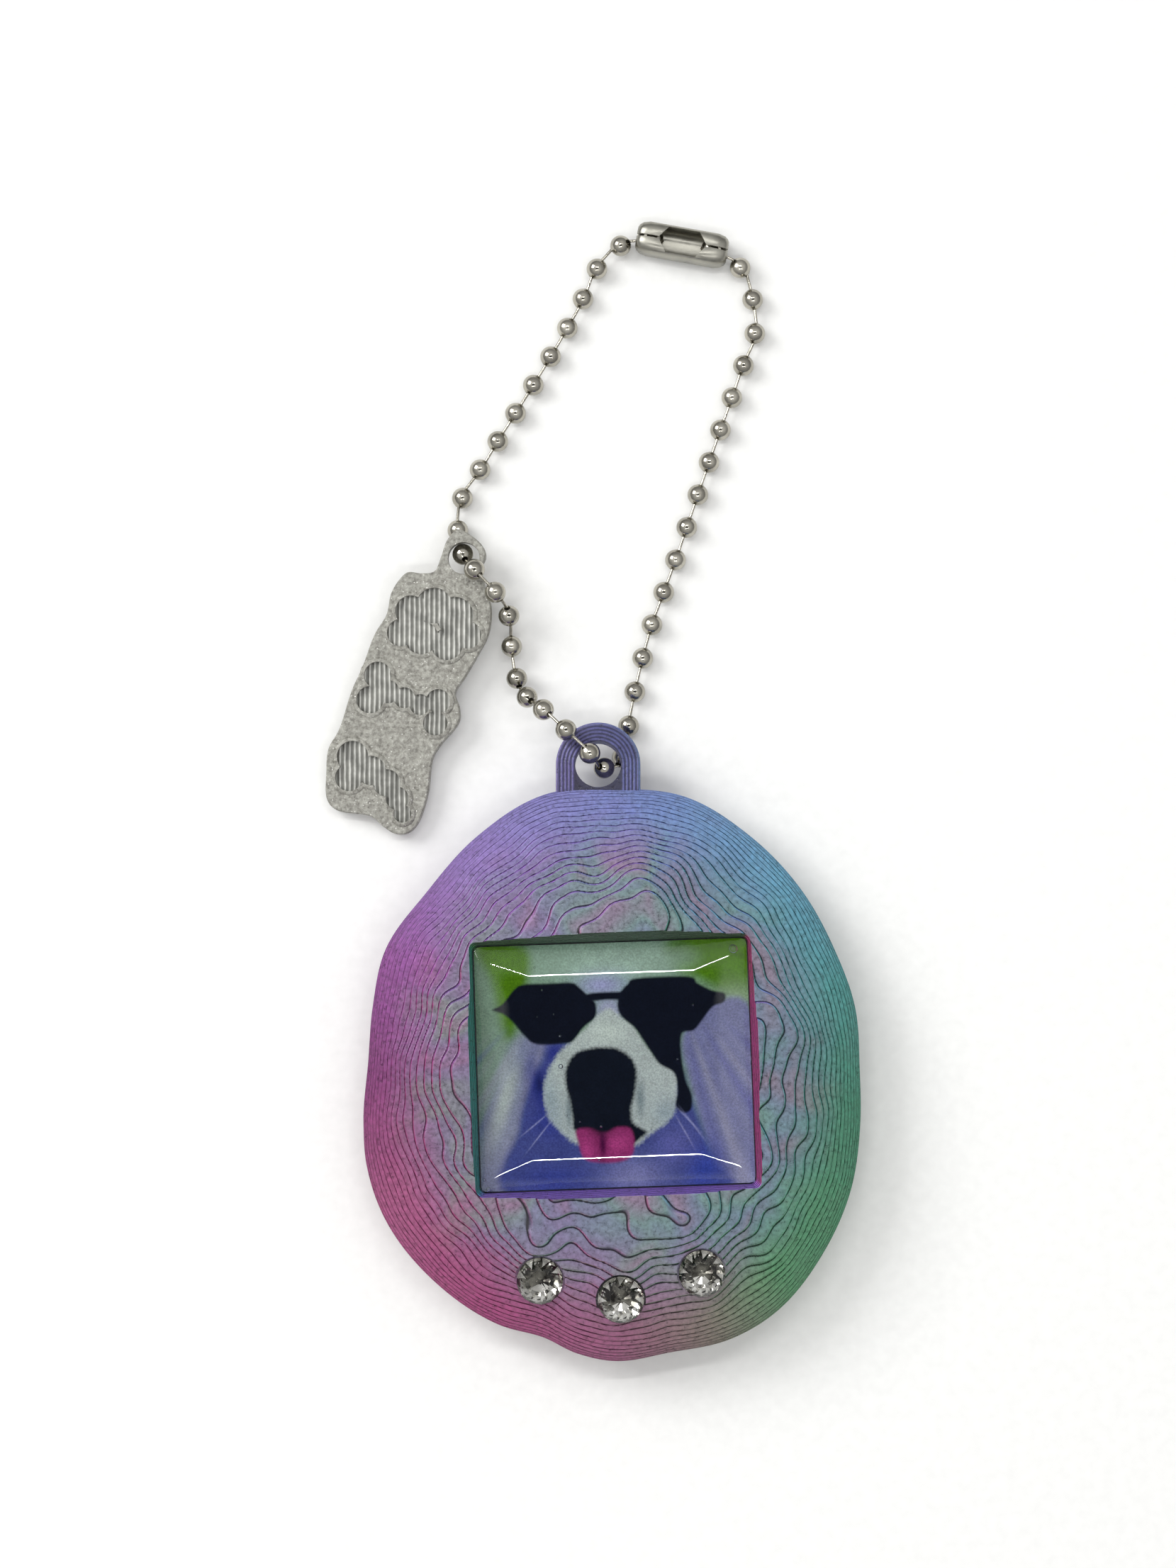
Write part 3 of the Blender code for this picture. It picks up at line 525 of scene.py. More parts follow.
# Each whisker: its middle, and how far it leans in degrees.
WHISKERS = [(6.6, -5.2, -48), (7.1, -5.8, -55), (6.2, -6.2, -62), (-7.4, -5.2, 38), (-7.0, -6.2, 50)]


def paint_picture(u, v):
    """The picture's colours at places u to the right and v up from its middle, in mm."""
    p = np.zeros(u.shape + (3,)) + np.array(linear("#637c69")[:3])
    p = lay(p, "#82998c", hill(u, v, 0, 9.2, 6.5, 2.4))
    p = lay(p, "#43690f", within_outline(u, v, LEFT_LEAVES, 1.3))
    gap = np.clip(1.25 - hill(u, v, 6, 9.5, 2.6, 1.4), 0, 1)
    p = lay(p, "#436a10", within_outline(u, v, RIGHT_LEAVES, 1.6) * gap)
    p = lay(p, "#84967e", hill(u, v, 11.3, 5.6, 1.9, 1.5) * 0.7)
    p = lay(p, "#65678a", within_outline(u, v, RIGHT_VEIL, 0.8))
    p = lay(p, "#6a6d88", within_outline(u, v, LEFT_VEIL, 1.6))
    # Folds fan out downwards from the lens on the right, and from behind the lens on the left.
    for x, y, way in ((5.2, 9.0, 1), (-4.2, 9.5, -1)):
        fan = np.degrees(np.arctan2(way * (u - x), y - v))
        light = 0.5 + 0.5 * np.sin(fan * 0.62) * np.sin(fan * 0.23 + 1.0)
        where = (way * u > 5.6) * np.clip((4 - v) / 4, 0, 1)
        p = lay(p, "#807f94", where * light**3 * 0.75)
        p = lay(p, "#4f5088", where * (1 - light) ** 4 * 0.6)
    p = lay(p, "#98a19c", hill(u, v, -10.0, -2.6, 0.9, 4.6, -17) * 0.85)
    p = lay(p, "#3a4176", within_outline(u, v, DRAPES, 1.0))
    p = lay(p, "#242a73", two_hills(u, v, (-6.6, -2.4, 1.0, 3.4, 20), (-5.2, 0.8, 0.8, 1.8, 30)) * 0.9)
    # Soft patches: each has its colour, its strength and its place.
    for colour, share, *patch in (
            ("#10163f", 0.8, -6.9, -1.5, 0.45, 1.2), ("#2c347a", 0.7, -6.4, -5.0, 1.6, 1.4),
            ("#27388a", 0.8, 7.9, -9.6, 1.6, 2.2), ("#27327c", 0.7, -6.0, -10.2, 3.4, 1.3),
            ("#6f6f9b", 0.85, 1.4, -10.0, 2.6, 1.5), ("#5c5c98", 0.6, 5.4, -7.4, 1.9, 1.6),
            ("#8385a8", 1.0, -0.9, 7.3, 2.4, 1.1), ("#8f90ae", 1.0, -0.3, 4.9, 1.3, 1.4)):
        p = lay(p, colour, hill(u, v, *patch) * share)
    # The furry muzzle, shaded where it turns away at its lower edges.
    fur = within_outline(u, v, MUZZLE, 0.55, fur=0.10)
    p = lay(p, "#99a19f", fur)
    p = lay(p, "#7c8a92", fur * two_hills(u, v, (-5.9, -3.4, 1.0, 3.0, 10), (4.6, -4.6, 1.3, 1.4)) * 0.7)
    p = lay(p, "#5d6a70", fur * two_hills(u, v, (2.3, -3.2, 0.45, 1.6), (-4.3, -4.2, 0.3, 1.5)) * 0.8)
    p = lay(p, "#b4beb6", fur * hill(u, v, -0.6, 3.0, 1.6, 1.1) * 0.6)
    p = lay(p, "#0c111c", within_outline(u, v, NOSE, 0.45, fur=0.06))
    tongue = within_outline(u, v, TONGUE, 0.4)
    p = lay(p, "#7d2a5a", tongue)
    p = lay(p, "#9c3a72", tongue * two_hills(u, v, (-2.8, -7.6, 0.6, 0.9), (0.2, -7.2, 0.9, 0.9)) * 0.8)
    p = lay(p, "#3f0d34", tongue * hill(u, v, -1.3, -7.2, 0.35, 1.4))
    p = lay(p, "#0c111c", hill(u, v, -1.4, -5.6, 1.0, 0.8))
    for outline in (LEFT_LENS, RIGHT_LENS, BRIDGE):
        p = lay(p, "#0b0f1b", within_outline(u, v, outline, 0.28))
    # Whiskers: thin pale strokes that sweep out from the right cheek and the left cheek.
    for x, y, lean in WHISKERS:
        p = lay(p, "#8a8db4", hill(u, v, x, y, 1.5, 0.06, lean) * 0.7)
    return p


print("colour at the tip of the muzzle:", np.round(paint_picture(np.array([0.0]), np.array([3.0]))[0], 2))

# %% [markdown]
# The printed sheet is a thin card with a glossy face. Its grid is fine enough that the drawn edges stay
# sharp, and the material adds the print's own grain: tiny dots of slightly different tone, 0.15 mm
# across, as an inkjet lays them down.

# %% The print on its card
PRINT_LOW, PRINT_HIGH = (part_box("picture_print")[k][2] / MM for k in (0, 1))
print_ink, shader = finish("inkjet_print_on_glossy_card")
ink = node(print_ink, "Attribute", attribute_name="ink")
spots = node(print_ink, "TexCoord")
dots = node(print_ink, "TexNoise", {"Vector": spots.outputs["Object"], "Scale": 6500.0, "Detail": 2.0})
cloud = node(print_ink, "TexNoise", {"Vector": spots.outputs["Object"], "Scale": 900.0, "Detail": 3.0})
tone = node(print_ink, "MapRange", {0: dots.outputs[0], 1: 0.3, 2: 0.7, 3: 0.80, 4: 1.24})
grainy = node(print_ink, "Mix", {0: 1.0, 6: ink.outputs["Color"], 7: tone.outputs[0]},
              data_type="RGBA", blend_type="MULTIPLY")
soft_tone = node(print_ink, "MapRange", {0: cloud.outputs[0], 1: 0.3, 2: 0.7, 3: 0.92, 4: 1.08})
inked = node(print_ink, "Mix", {0: 1.0, 6: grainy.outputs[2], 7: soft_tone.outputs[0]},
             data_type="RGBA", blend_type="MULTIPLY")
plug(inked.outputs[2], shader, "Base Color")
shader.inputs["Roughness"].default_value = 0.45
# The resin wets the print, so the ink has no shine of its own and its blacks stay deep.
shader.inputs["Specular IOR Level"].default_value = 0.0

PITCH = 0.085
SIDE_GAP = 0.15
half_u, half_v = WINDOW[0] / 2 - SIDE_GAP, WINDOW[1] / 2 - SIDE_GAP
us = np.linspace(-half_u, half_u, int(2 * half_u / PITCH))
vs = np.linspace(-half_v, half_v, int(2 * half_v / PITCH))
U, V = np.meshgrid(us, vs)
X, Y = in_window(U, V)
nu, nv = len(us), len(vs)
points = [(x, y, PRINT_HIGH) for x, y in zip(X.ravel(), Y.ravel())]
faces = [(j * nu + i, j * nu + i + 1, (j + 1) * nu + i + 1, (j + 1) * nu + i)
         for j in range(nv - 1) for i in range(nu - 1)]
rim = list(range(nu)) + [j * nu + nu - 1 for j in range(1, nv)]
rim += [(nv - 1) * nu + i for i in range(nu - 2, -1, -1)] + [j * nu for j in range(nv - 2, 0, -1)]
base = len(points)
points += [(points[k][0], points[k][1], PRINT_LOW) for k in rim]
n = len(rim)
faces += [(rim[k], base + k, base + (k + 1) % n, rim[(k + 1) % n]) for k in range(n)]
faces.append(tuple(base + k for k in range(n)))
picture = piece("picture_card", points, faces, print_ink, smooth=0)
colours = np.ones((len(points), 4))
colours[:nu * nv, :3] = np.clip(paint_picture(U, V), 0, 1).reshape(-1, 3)
colours[base:, :3] = linear("#c9ccc8")[:3]
picture.data.attributes.new("ink", "FLOAT_COLOR", "POINT").data.foreach_set("color", colours.ravel())
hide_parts("picture_print")
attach(picture, "egg")
print("print grid:", nu, "by", nv)

# %% [markdown]
# Clear resin was poured over the print until it stood proud of the window's edge. Surface tension
# rounds its rim steeply and leaves the middle nearly flat, so lamps show as thin bright lines along
# the rim. The height falls off exponentially towards the edge, as a liquid's edge does. The resin is
# real refracting glass to the eye, but lets lamp light straight through, so the print stays bright.

# %% Clear resin, and the dome
def clear_stuff(name, ior, tint, roughness, ripple=0.05):
    """A clear solid that bends sight lines, and lets lamp light through without slowing the render."""
    mat, shader = finish(name)
    shader.inputs["Base Color"].default_value = linear(tint)
    shader.inputs["Transmission Weight"].default_value = 1.0
    shader.inputs["IOR"].default_value = ior
    place = node(mat, "TexCoord")
    waves = node(mat, "TexNoise", {"Vector": place.outputs["Object"], "Scale": 420.0, "Detail": 1.0})
    haze = node(mat, "MapRange", {0: waves.outputs[0], 3: roughness * 0.5, 4: roughness * 1.5})
    plug(haze.outputs[0], shader, "Roughness")
    lens = node(mat, "Bump", {"Height": waves.outputs[0], "Strength": ripple, "Distance": 0.00005})
    plug(lens.outputs[0], shader, "Normal")
    through = node(mat, "BsdfTransparent", {"Color": linear("#f4f8f7")})
    ray = node(mat, "LightPath")
    both = node(mat, "MixShader", {0: ray.outputs["Is Shadow Ray"], 1: shader.outputs[0],
                                   2: through.outputs[0]})
    plug(both.outputs[0], mat.node_tree.nodes["Material Output"], "Surface")
    return mat


RESIN = clear_stuff("clear_uv_resin_cast", 1.50, "#fbfdfc", 0.006)
DOME_LOW, DOME_HIGH = (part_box("clear_dome")[k][2] / MM for k in (0, 1))
DOME_EDGE, REACH, BOND = 1.1, 2.2, 0.07
# Distances in from the rim: close together where the resin curves most.
DOME_STEPS = (0, 0.05, 0.12, 0.22, 0.36, 0.55, 0.8, 1.1, 1.45, 1.85, 2.3, 2.75, 3.2, 3.7, 4.3, 5.0,
              5.8, 6.8, 8.0, 9.2)
rings = []
for d in DOME_STEPS:
    share = (1 - math.exp(-d / REACH)) / (1 - math.exp(-DOME_STEPS[-1] / REACH))
    corner = min(0.6 + 0.55 * d, 11.2 - d - SIDE_GAP)
    z = DOME_LOW + DOME_EDGE + (DOME_HIGH - DOME_LOW - DOME_EDGE) * share
    rings.append([(x, y, z) for x, y in window_outline(SIDE_GAP + d, corner, 10)])
rings.insert(0, [(x, y, DOME_LOW - BOND) for x, y, _ in rings[0]])
dome = piece("resin_dome", *skin(rings), RESIN, smooth=50)
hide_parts("clear_dome")
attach(dome, "egg")
print("dome stands from", round(DOME_LOW, 2), "to", round(DOME_HIGH, 2), "mm")

# %% [markdown]
# Clear casting never comes out perfect. A few air bubbles are trapped in the resin, mostly by the
# corners, and each shows as a tiny bright ring. They are small hollow shells of air, made here as
# squashed rounds just under the surface, in a fixed list so that every build is the same.

# %% Bubbles in the resin
AIR, shader = finish("air_bubble_in_resin")
shader.inputs["Base Color"].default_value = linear("#ffffff")
shader.inputs["Transmission Weight"].default_value = 1.0
shader.inputs["IOR"].default_value = 1.0 / 1.5
place = node(AIR, "TexCoord")
mist = node(AIR, "TexNoise", {"Vector": place.outputs["Object"], "Scale": 3000.0})
dull = node(AIR, "MapRange", {0: mist.outputs[0], 3: 0.0, 4: 0.08})
plug(dull.outputs[0], shader, "Roughness")
BUBBLES = [(11.3, 10.2, 0.42), (-4.9, 0.0, 0.22), (-11.9, -11.0, 0.25), (-6.4, 7.0, 0.10), (7.4, 5.2, 0.11),
           (-6.9, 4.6, 0.09), (-5.4, 4.8, 0.08), (-1.4, -5.6, 0.13), (-4.5, -4.5, 0.10), (5.8, 0.3, 0.09),
           (-4.9, 2.8, 0.13), (3.2, -6.0, 0.08), (-7.0, 9.1, 0.10), (6.4, -7.2, 0.07), (-3.3, -5.1, 0.08),
           (-12.2, -10.1, 0.14), (0.2, 4.6, 0.07), (-1.7, -8.6, 0.11)]
BUBBLE_HEIGHT = 0.75
work = bmesh.new()
for u, v, r in BUBBLES:
    where = Vector((*in_window(u, v), DOME_LOW + BUBBLE_HEIGHT)) * MM
    shape = Matrix.Translation(where) @ Matrix.Diagonal((1, 1, 0.7, 1))
    bmesh.ops.create_icosphere(work, subdivisions=3, radius=r * MM, matrix=shape)
mesh = bpy.data.meshes.new("resin_bubbles")
work.to_mesh(mesh)
work.free()
mesh.shade_smooth()
mesh.materials.append(AIR)
bubbles = bpy.data.objects.new("resin_bubbles", mesh)
bpy.context.scene.collection.objects.link(bubbles)
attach(bubbles, "egg")
print(len(BUBBLES), "bubbles")

# %% [markdown]
# The three stones are flat-back rhinestones: a cut glass crown with a silver foil under it. The crown
# has a flat table and two bands of sixteen facets above a low girdle. All the sparkle comes from flat
# faces, so the crown stays flat-shaded, and the foil below is a shallow faceted cone.

# %% Cut glass and foil
CUT_GLASS = clear_stuff("cut_lead_glass", 1.58, "#ffffff", 0.0, ripple=0.0)
FOIL, shader = finish("silver_foil_behind_glass")
place = node(FOIL, "TexCoord")
creases = node(FOIL, "TexNoise", {"Vector": place.outputs["Object"], "Scale": 700.0, "Detail": 2.0})
silver = node(FOIL, "ValToRGB", {0: creases.outputs[0]}, stops=[(0.35, "#a3a29c"), (0.65, "#e9e8e2")])
plug(silver.outputs[0], shader, "Base Color")
shader.inputs["Metallic"].default_value = 1.0
shader.inputs["Roughness"].default_value = 0.03
# Under the table a real foil sends back the dark half of the room, so those facets look nearly black.
# This room is a plain bright tent, so that dark reflection is painted onto the facets themselves.
SHADED_FOIL, shader = finish("silver_foil_in_shadow")
place = node(SHADED_FOIL, "TexCoord")
gleams = node(SHADED_FOIL, "TexNoise", {"Vector": place.outputs["Object"], "Scale": 900.0})
painted_dark_reflection = node(SHADED_FOIL, "ValToRGB", {0: gleams.outputs[0]},
             stops=[(0.40, "#2c2a28"), (0.60, "#7a7870")])
plug(painted_dark_reflection.outputs[0], shader, "Base Color")
shader.inputs["Metallic"].default_value = 1.0
shader.inputs["Roughness"].default_value = 0.06
STONE_RADIUS, TABLE, GIRDLE = 2.15, 1.0, 0.35


def star(x, y, r_even, r_odd, z_even, z_odd, count=16, turn=0.0):
    """A ring whose points lie in turn on two radii and two heights."""
    out = []
    for k in range(count):
        a = 2 * math.pi * (k + turn) / count
        r, z = (r_even, z_even) if k % 2 == 0 else (r_odd, z_odd)
        out.append((x + r * math.cos(a), y + r * math.sin(a), z))
    return out


for side_name, (x, y) in STONES.items():
    low, high = (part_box("stone_" + side_name)[k][2] / MM for k in (0, 1))
    turn = {"left": 0.2, "middle": 0.9, "right": 0.55}[side_name]
    rings = [star(x, y, STONE_RADIUS, STONE_RADIUS, low, low, turn=turn),
             star(x, y, STONE_RADIUS, STONE_RADIUS, low + GIRDLE, low + GIRDLE, turn=turn),
             star(x, y, 1.72, 1.80, low + 1.05, low + 0.80, turn=turn),
             star(x, y, TABLE, TABLE * 0.93, high, high, turn=turn)]
    points, faces = skin(rings)
    crown = piece("cut_stone_" + side_name, points, faces, CUT_GLASS, smooth=0)
    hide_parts("stone_" + side_name)
    backs = [star(x, y, 2.08, 2.08, low + 0.30, low + 0.30, turn=turn + 0.5),
             star(x, y, 1.2, 0.95, low + 0.16, low + 0.19, turn=turn + 0.5),
             star(x, y, 0.35, 0.28, low + 0.05, low + 0.06, turn=turn + 0.5)]
    n = 16
    points = [p for ring in backs for p in ring] + [(x, y, low + 0.03)]
    faces = [(k * n + i, k * n + (i + 1) % n, (k + 1) * n + (i + 1) % n, (k + 1) * n + i)
             for k in range(2) for i in range(n)]
    faces = [tri for q in faces for tri in ((q[0], q[1], q[2]), (q[0], q[2], q[3]))]
    faces += [(2 * n + i, 2 * n + (i + 1) % n, 3 * n) for i in range(n)]
    foil = piece("stone_foil_" + side_name, points, faces, FOIL, smooth=0)
    foil.data.materials.append(SHADED_FOIL)
    # Facets under the table, all but those towards the viewer's feet, take the painted dark reflection.
    for facet in foil.data.polygons:
        right, up = facet.center.x / MM - x, facet.center.y / MM - y
        if math.hypot(right, up) < 1.5 and up > -0.45:
            facet.material_index = 1
    for made in (crown, foil):
        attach(made, "egg")
print("three stones, each", 2 * STONE_RADIUS, "mm across")

# %% [markdown]
# The ball chain is stamped from nickel-plated steel. Each hollow bead has a hole at both poles, and the
# pin between two beads is a short wire with its heads trapped inside them. A bead is turned like a pot
# from one profile: a sphere whose skin curls in at the holes. The beads take their places from the
# chain's own line, so each one lands on its engineering link and moves with the link's own body.

# %% Plated nickel
NICKEL, shader = finish("nickel_plated_steel_polished")
place = node(NICKEL, "TexCoord")
smear = node(NICKEL, "TexNoise", {"Vector": place.outputs["Object"], "Scale": 700.0, "Detail": 4.0})
tone = node(NICKEL, "ValToRGB", {0: smear.outputs[0]}, stops=[(0.3, "#98948a"), (0.7, "#c2beb2")])
plug(tone.outputs[0], shader, "Base Color")
shader.inputs["Metallic"].default_value = 1.0
shine = node(NICKEL, "MapRange", {0: smear.outputs[0], 1: 0.3, 2: 0.7, 3: 0.10, 4: 0.24})
plug(shine.outputs[0], shader, "Roughness")
scratch = node(NICKEL, "TexNoise", {"Vector": place.outputs["Object"], "Scale": 2200.0, "Detail": 2.0})
dent = node(NICKEL, "Bump", {"Height": scratch.outputs[0], "Strength": 0.25, "Distance": 0.00003})
plug(dent.outputs[0], shader, "Normal")

# %% The chain's line and its beads
BEAD, PIN, HOLE = 1.0, 0.15, 0.29
LEFT_ROUTE = [
    (-0.9, 28.6, 4.3), (-2.2, 29.7, 6.9), (-4.3, 31.7, 7.7), (-6.6, 33.9, 6.4), (-8.2, 35.4, 3.9),
    (-9.1, 37.2, 1.9), (-9.6, 40.0, 1.5), (-9.8, 42.9, 3.1), (-10.9, 44.8, 5.3),
    (-12.6, 46.7, 5.7), (-14.0, 48.5, 3.4), (-14.7, 50.8, 1.3), (-14.7, 53.8, 1.0),
    (-13.5, 56.1, 1.0), (-10.0, 61.8, 1.0), (-6.6, 67.3, 1.0), (-3.25, 73.2, 1.0),
    (-1.8, 76.5, 1.05), (0.55, 79.0, 1.25), (3.85, 79.6, 1.6),
]
RIGHT_ROUTE = [
    (-0.9, 28.6, 4.3), (0.9, 29.9, 1.7), (1.4, 32.6, 1.05), (1.9, 35.5, 1.0), (3.5, 42.0, 1.0),
    (5.8, 48.4, 1.0), (9.05, 57.9, 1.0), (12.3, 67.1, 1.0), (13.5, 70.3, 1.0), (13.4, 73.7, 1.0),
    (12.2, 76.9, 1.2), (9.35, 78.6, 1.6),
]
LEFT_BEADS, RIGHT_BEADS = 22, 17


def smooth_line(points, per_span=24):
    """Points along a smooth line (a Catmull-Rom spline) through a given route."""
    p = [Vector(q) for q in points]
    p = [2 * p[0] - p[1]] + p + [2 * p[-1] - p[-2]]
    line = []
    for a, b, c, d in zip(p, p[1:], p[2:], p[3:]):
        for k in range(per_span):
            t = k / per_span
            line.append(0.5 * (2 * b + (c - a) * t + (2 * a - 5 * b + 4 * c - d) * t**2
                               + (3 * b - 3 * c + d - a) * t**3))
    return line + [p[-2]]


def beads_along(route, count):
    """Middles of count beads after the first, evenly spaced along the route."""
    line = smooth_line(route)
    steps = np.cumsum([0.0] + [(b - a).length for a, b in zip(line, line[1:])])
    places = np.linspace(0.0, steps[-1], count + 1)
    columns = [np.interp(places, steps, [p[k] for p in line]) for k in range(3)]
    return [Vector(p) for p in zip(*columns)]


def bead_axes(beads):
    """Which way each bead's holes face: halfway between its two pins, settled in a few rounds."""
    ends = [beads[0] * 2 - beads[1]] + beads + [beads[-1] * 2 - beads[-2]]
    axes = [(c - a).normalized() for a, c in zip(ends, ends[2:])]
    for _ in range(30):
        pins = [(q - p - BEAD * (u + v)).normalized()
                for p, q, u, v in zip(beads, beads[1:], axes, axes[1:])]
        pins = [pins[0]] + pins + [pins[-1]]
        axes = [(2 * u + p + q).normalized() for u, p, q in zip(axes, pins, pins[1:])]
    return axes


def turned(start, way, profile, steps):
    """Rings of a turned shape: profile gives distances along way from start, and radii."""
    side = way.orthogonal().normalized()
    other = way.cross(side)
    rings = []
    for along, r in profile:
        rings.append([tuple(start + along * way + r * (math.cos(2 * math.pi * k / steps) * side
                                                       + math.sin(2 * math.pi * k / steps) * other))
                      for k in range(steps)])
    return rings


def bead_mesh(bead, axis):
    """A bead's skin, turned round its axis, with its edge curled in at both holes."""
    first = math.asin(HOLE / BEAD) + 0.12
    profile = [(-0.80, HOLE - 0.015), (-0.90, HOLE - 0.01), (-0.945, HOLE + 0.015), (-0.957, HOLE + 0.05)]
    for k in range(15):
        a = first + (math.pi - 2 * first) * k / 14
        profile.append((-BEAD * math.cos(a), BEAD * math.sin(a)))
    profile += [(-x, r) for x, r in profile[3::-1]]
    steps = 32
    points, faces = skin(turned(bead, axis, profile, steps), closed=False)
    inner = [(-0.80, HOLE - 0.015), (-0.72, 0.5), (-0.3, 0.82)]
    inner += [(-x, r) for x, r in inner[::-1]]
    more, quads = skin(turned(bead, axis, inner, steps), closed=False)
    return points + more, faces + [tuple(k + len(points) for k in q)[::-1] for q in quads]


home = {n: body for body, group in frame["record"]["behaviour"]["bodies"].items() for n in group}
left = beads_along(LEFT_ROUTE, LEFT_BEADS)
right = beads_along(RIGHT_ROUTE, RIGHT_BEADS)
axes = bead_axes(right[:0:-1] + left)
chain = [("link_centre", left[0], axes[RIGHT_BEADS], None)]
for side_name, beads, ways in (("left", left, axes[RIGHT_BEADS:]),
                               ("right", right, [-a for a in axes[RIGHT_BEADS::-1]])):
    for i in range(1, len(beads)):
        chain.append((f"link_{side_name}_{i:02d}", beads[i], ways[i], beads[i - 1] + BEAD * ways[i - 1]))
for name, bead, axis, hole in chain:
    points, faces = bead_mesh(bead, axis)
    if hole is not None:
        pole = bead - BEAD * axis
        way, gap = (hole - pole).normalized(), (hole - pole).length
        wire = [(-0.25, 0.02), (-0.25, PIN), (gap + 0.35, PIN), (gap + 0.45, 0.28), (gap + 0.75, 0.31),
                (gap + 0.95, 0.16)]
        more, quads = skin(turned(pole, way, wire, 12))
        faces += [tuple(k + len(points) for k in q) for q in quads]
        points += more
    link = piece("bead_" + name[5:], points, faces, NICKEL, smooth=45)
    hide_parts(name)
    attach(link, home[name])
print(len(chain), "beads, the first at", [round(v, 2) for v in left[0]])

# %% [markdown]
# The connector is a strip of thin sheet steel, folded into a little trough with a six-sided window. A
# bead is pushed through the window, and the end slot is too narrow to let it out again. It is made as a
# rounded box, hollowed by a smaller one, and then cut: the same order as press, punch and fold.

# %% Folded connector
STEEL, shader = finish("nickel_plated_steel_satin")
place = node(STEEL, "TexCoord")
smear = node(STEEL, "TexNoise", {"Vector": place.outputs["Object"], "Scale": 600.0, "Detail": 4.0})
tone = node(STEEL, "ValToRGB", {0: smear.outputs[0]}, stops=[(0.3, "#8b8981"), (0.7, "#adaba1")])
plug(tone.outputs[0], shader, "Base Color")
shader.inputs["Metallic"].default_value = 1.0
shine = node(STEEL, "MapRange", {0: smear.outputs[0], 1: 0.3, 2: 0.7, 3: 0.26, 4: 0.42})
plug(shine.outputs[0], shader, "Roughness")
tumble = node(STEEL, "TexNoise", {"Vector": place.outputs["Object"], "Scale": 3200.0, "Detail": 2.0})
dent = node(STEEL, "Bump", {"Height": tumble.outputs[0], "Strength": 0.3, "Distance": 0.00003})
plug(dent.outputs[0], shader, "Normal")
CONNECTOR_LENGTH, CONNECTOR_WIDTH, CONNECTOR_HEIGHT, WALL = 8.8, 3.1, 3.0, 0.25
middle = (left[-1] + right[-1]) / 2
along = (right[-1] - left[-1]).normalized()
across = Vector((0, 0, 1)).cross(along)


def trough(name, wall):
    """A closed rounded tube along the connector, thinner by wall on every side."""
    half, deep, length = (size / 2 - wall
                          for size in (CONNECTOR_WIDTH, CONNECTOR_HEIGHT, CONNECTOR_LENGTH))
    rings = []
    ends = [(0.0, 0.60), (0.15, 0.76), (0.45, 0.90), (1.1, 1.0)]
    for x, share in [(d - length, r) for d, r in ends] + [(length - d, r) for d, r in ends[::-1]]:
        ring = []
        for sy, sz, start in ((1, 1, 0), (-1, 1, 90), (-1, -1, 180), (1, -1, 270)):
            for k in range(7):
                a = math.radians(start + 15 * k)
                r = 0.95 * share
                y, z = sy * (half * share - r) + r * math.cos(a), sz * (deep * share - r) + r * math.sin(a)
                ring.append(tuple(middle + x * along + y * across + Vector((0, 0, z))))
        rings.append(ring)
    return piece(name, *skin(rings), STEEL, smooth=0)


def punch(name, outline, low, high):
    """A closed prism over an outline in the connector's own plane."""
    rings = [[tuple(middle + x * along + y * across + Vector((0, 0, z))) for x, y in outline]
             for z in (low, high)]
    return piece(name, *skin(rings), STEEL, smooth=0)


tip, point_length, half_mouth = 2.35, 0.9, 1.25
hexagon = [(tip, 0), (tip - point_length, half_mouth), (point_length - tip, half_mouth), (-tip, 0),
           (point_length - tip, -half_mouth), (tip - point_length, -half_mouth)]
connector = trough("folded_connector", 0.0)
SEAM, END_HOLE, END_HOLE_HEIGHT, PAST = 0.11, 0.80, 0.75, 6
cut(connector, trough("hollow_tool", WALL), punch("window_punch", hexagon, 0.0, 3.0),
    punch("seam_punch", [(-PAST, -SEAM), (PAST, -SEAM), (PAST, SEAM), (-PAST, SEAM)], 0.5, 3.0),
    punch("end_punch", [(-PAST, -END_HOLE), (PAST, -END_HOLE), (PAST, END_HOLE), (-PAST, END_HOLE)],
          -END_HOLE_HEIGHT, END_HOLE_HEIGHT))
edges = connector.modifiers.new("rolled_edges", "BEVEL")
edges.width, edges.segments, edges.limit_method, edges.angle_limit = 0.05 * MM, 2, "ANGLE", math.radians(50)
settle(connector, 40)
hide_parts("chain_connector")
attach(connector, home["chain_connector"])
print("connector:", len(connector.data.vertices), "points")

# %% [markdown]
# The tag is a separate print in a silver filament with glitter in it. Its top was left as printed: rough
# rows of molten plastic, with sunk pools in it that are cloud, bone and drop shaped. One extra row of
# plastic was laid round each pool, so a low rounded lip stands along its edge.
# The edge shows ten layers, so the rim alternates in and out by a hair, as real layers do.

# %% Glitter silver filament
GLITTER, shader = finish("silver_glitter_filament_print")
place = node(GLITTER, "TexCoord")
crumbs = node(GLITTER, "TexNoise", {"Vector": place.outputs["Object"], "Scale": 2600.0, "Detail": 4.0,
                                   "Roughness": 0.7})
shade = node(GLITTER, "ValToRGB", {0: crumbs.outputs[0]}, stops=[
    (0.30, "#6c6a62"), (0.44, "#8d8b83"), (0.58, "#a8a79e"), (0.72, "#c6c5bd")])
flakes = node(GLITTER, "TexVoronoi", {"Vector": place.outputs["Object"], "Scale": 2400.0})
spark = node(GLITTER, "MapRange", {0: flakes.outputs["Distance"], 1: 0.16, 2: 0.10, 3: 0.0, 4: 0.8})
lit = node(GLITTER, "Mix", {0: spark.outputs[0], 6: shade.outputs[0], 7: linear("#e6e6e0")},
           data_type="RGBA")
plug(lit.outputs[2], shader, "Base Color")
plug(spark.outputs[0], shader, "Metallic")
dull = node(GLITTER, "MapRange", {0: crumbs.outputs[0], 1: 0.3, 2: 0.7, 3: 0.30, 4: 0.60})
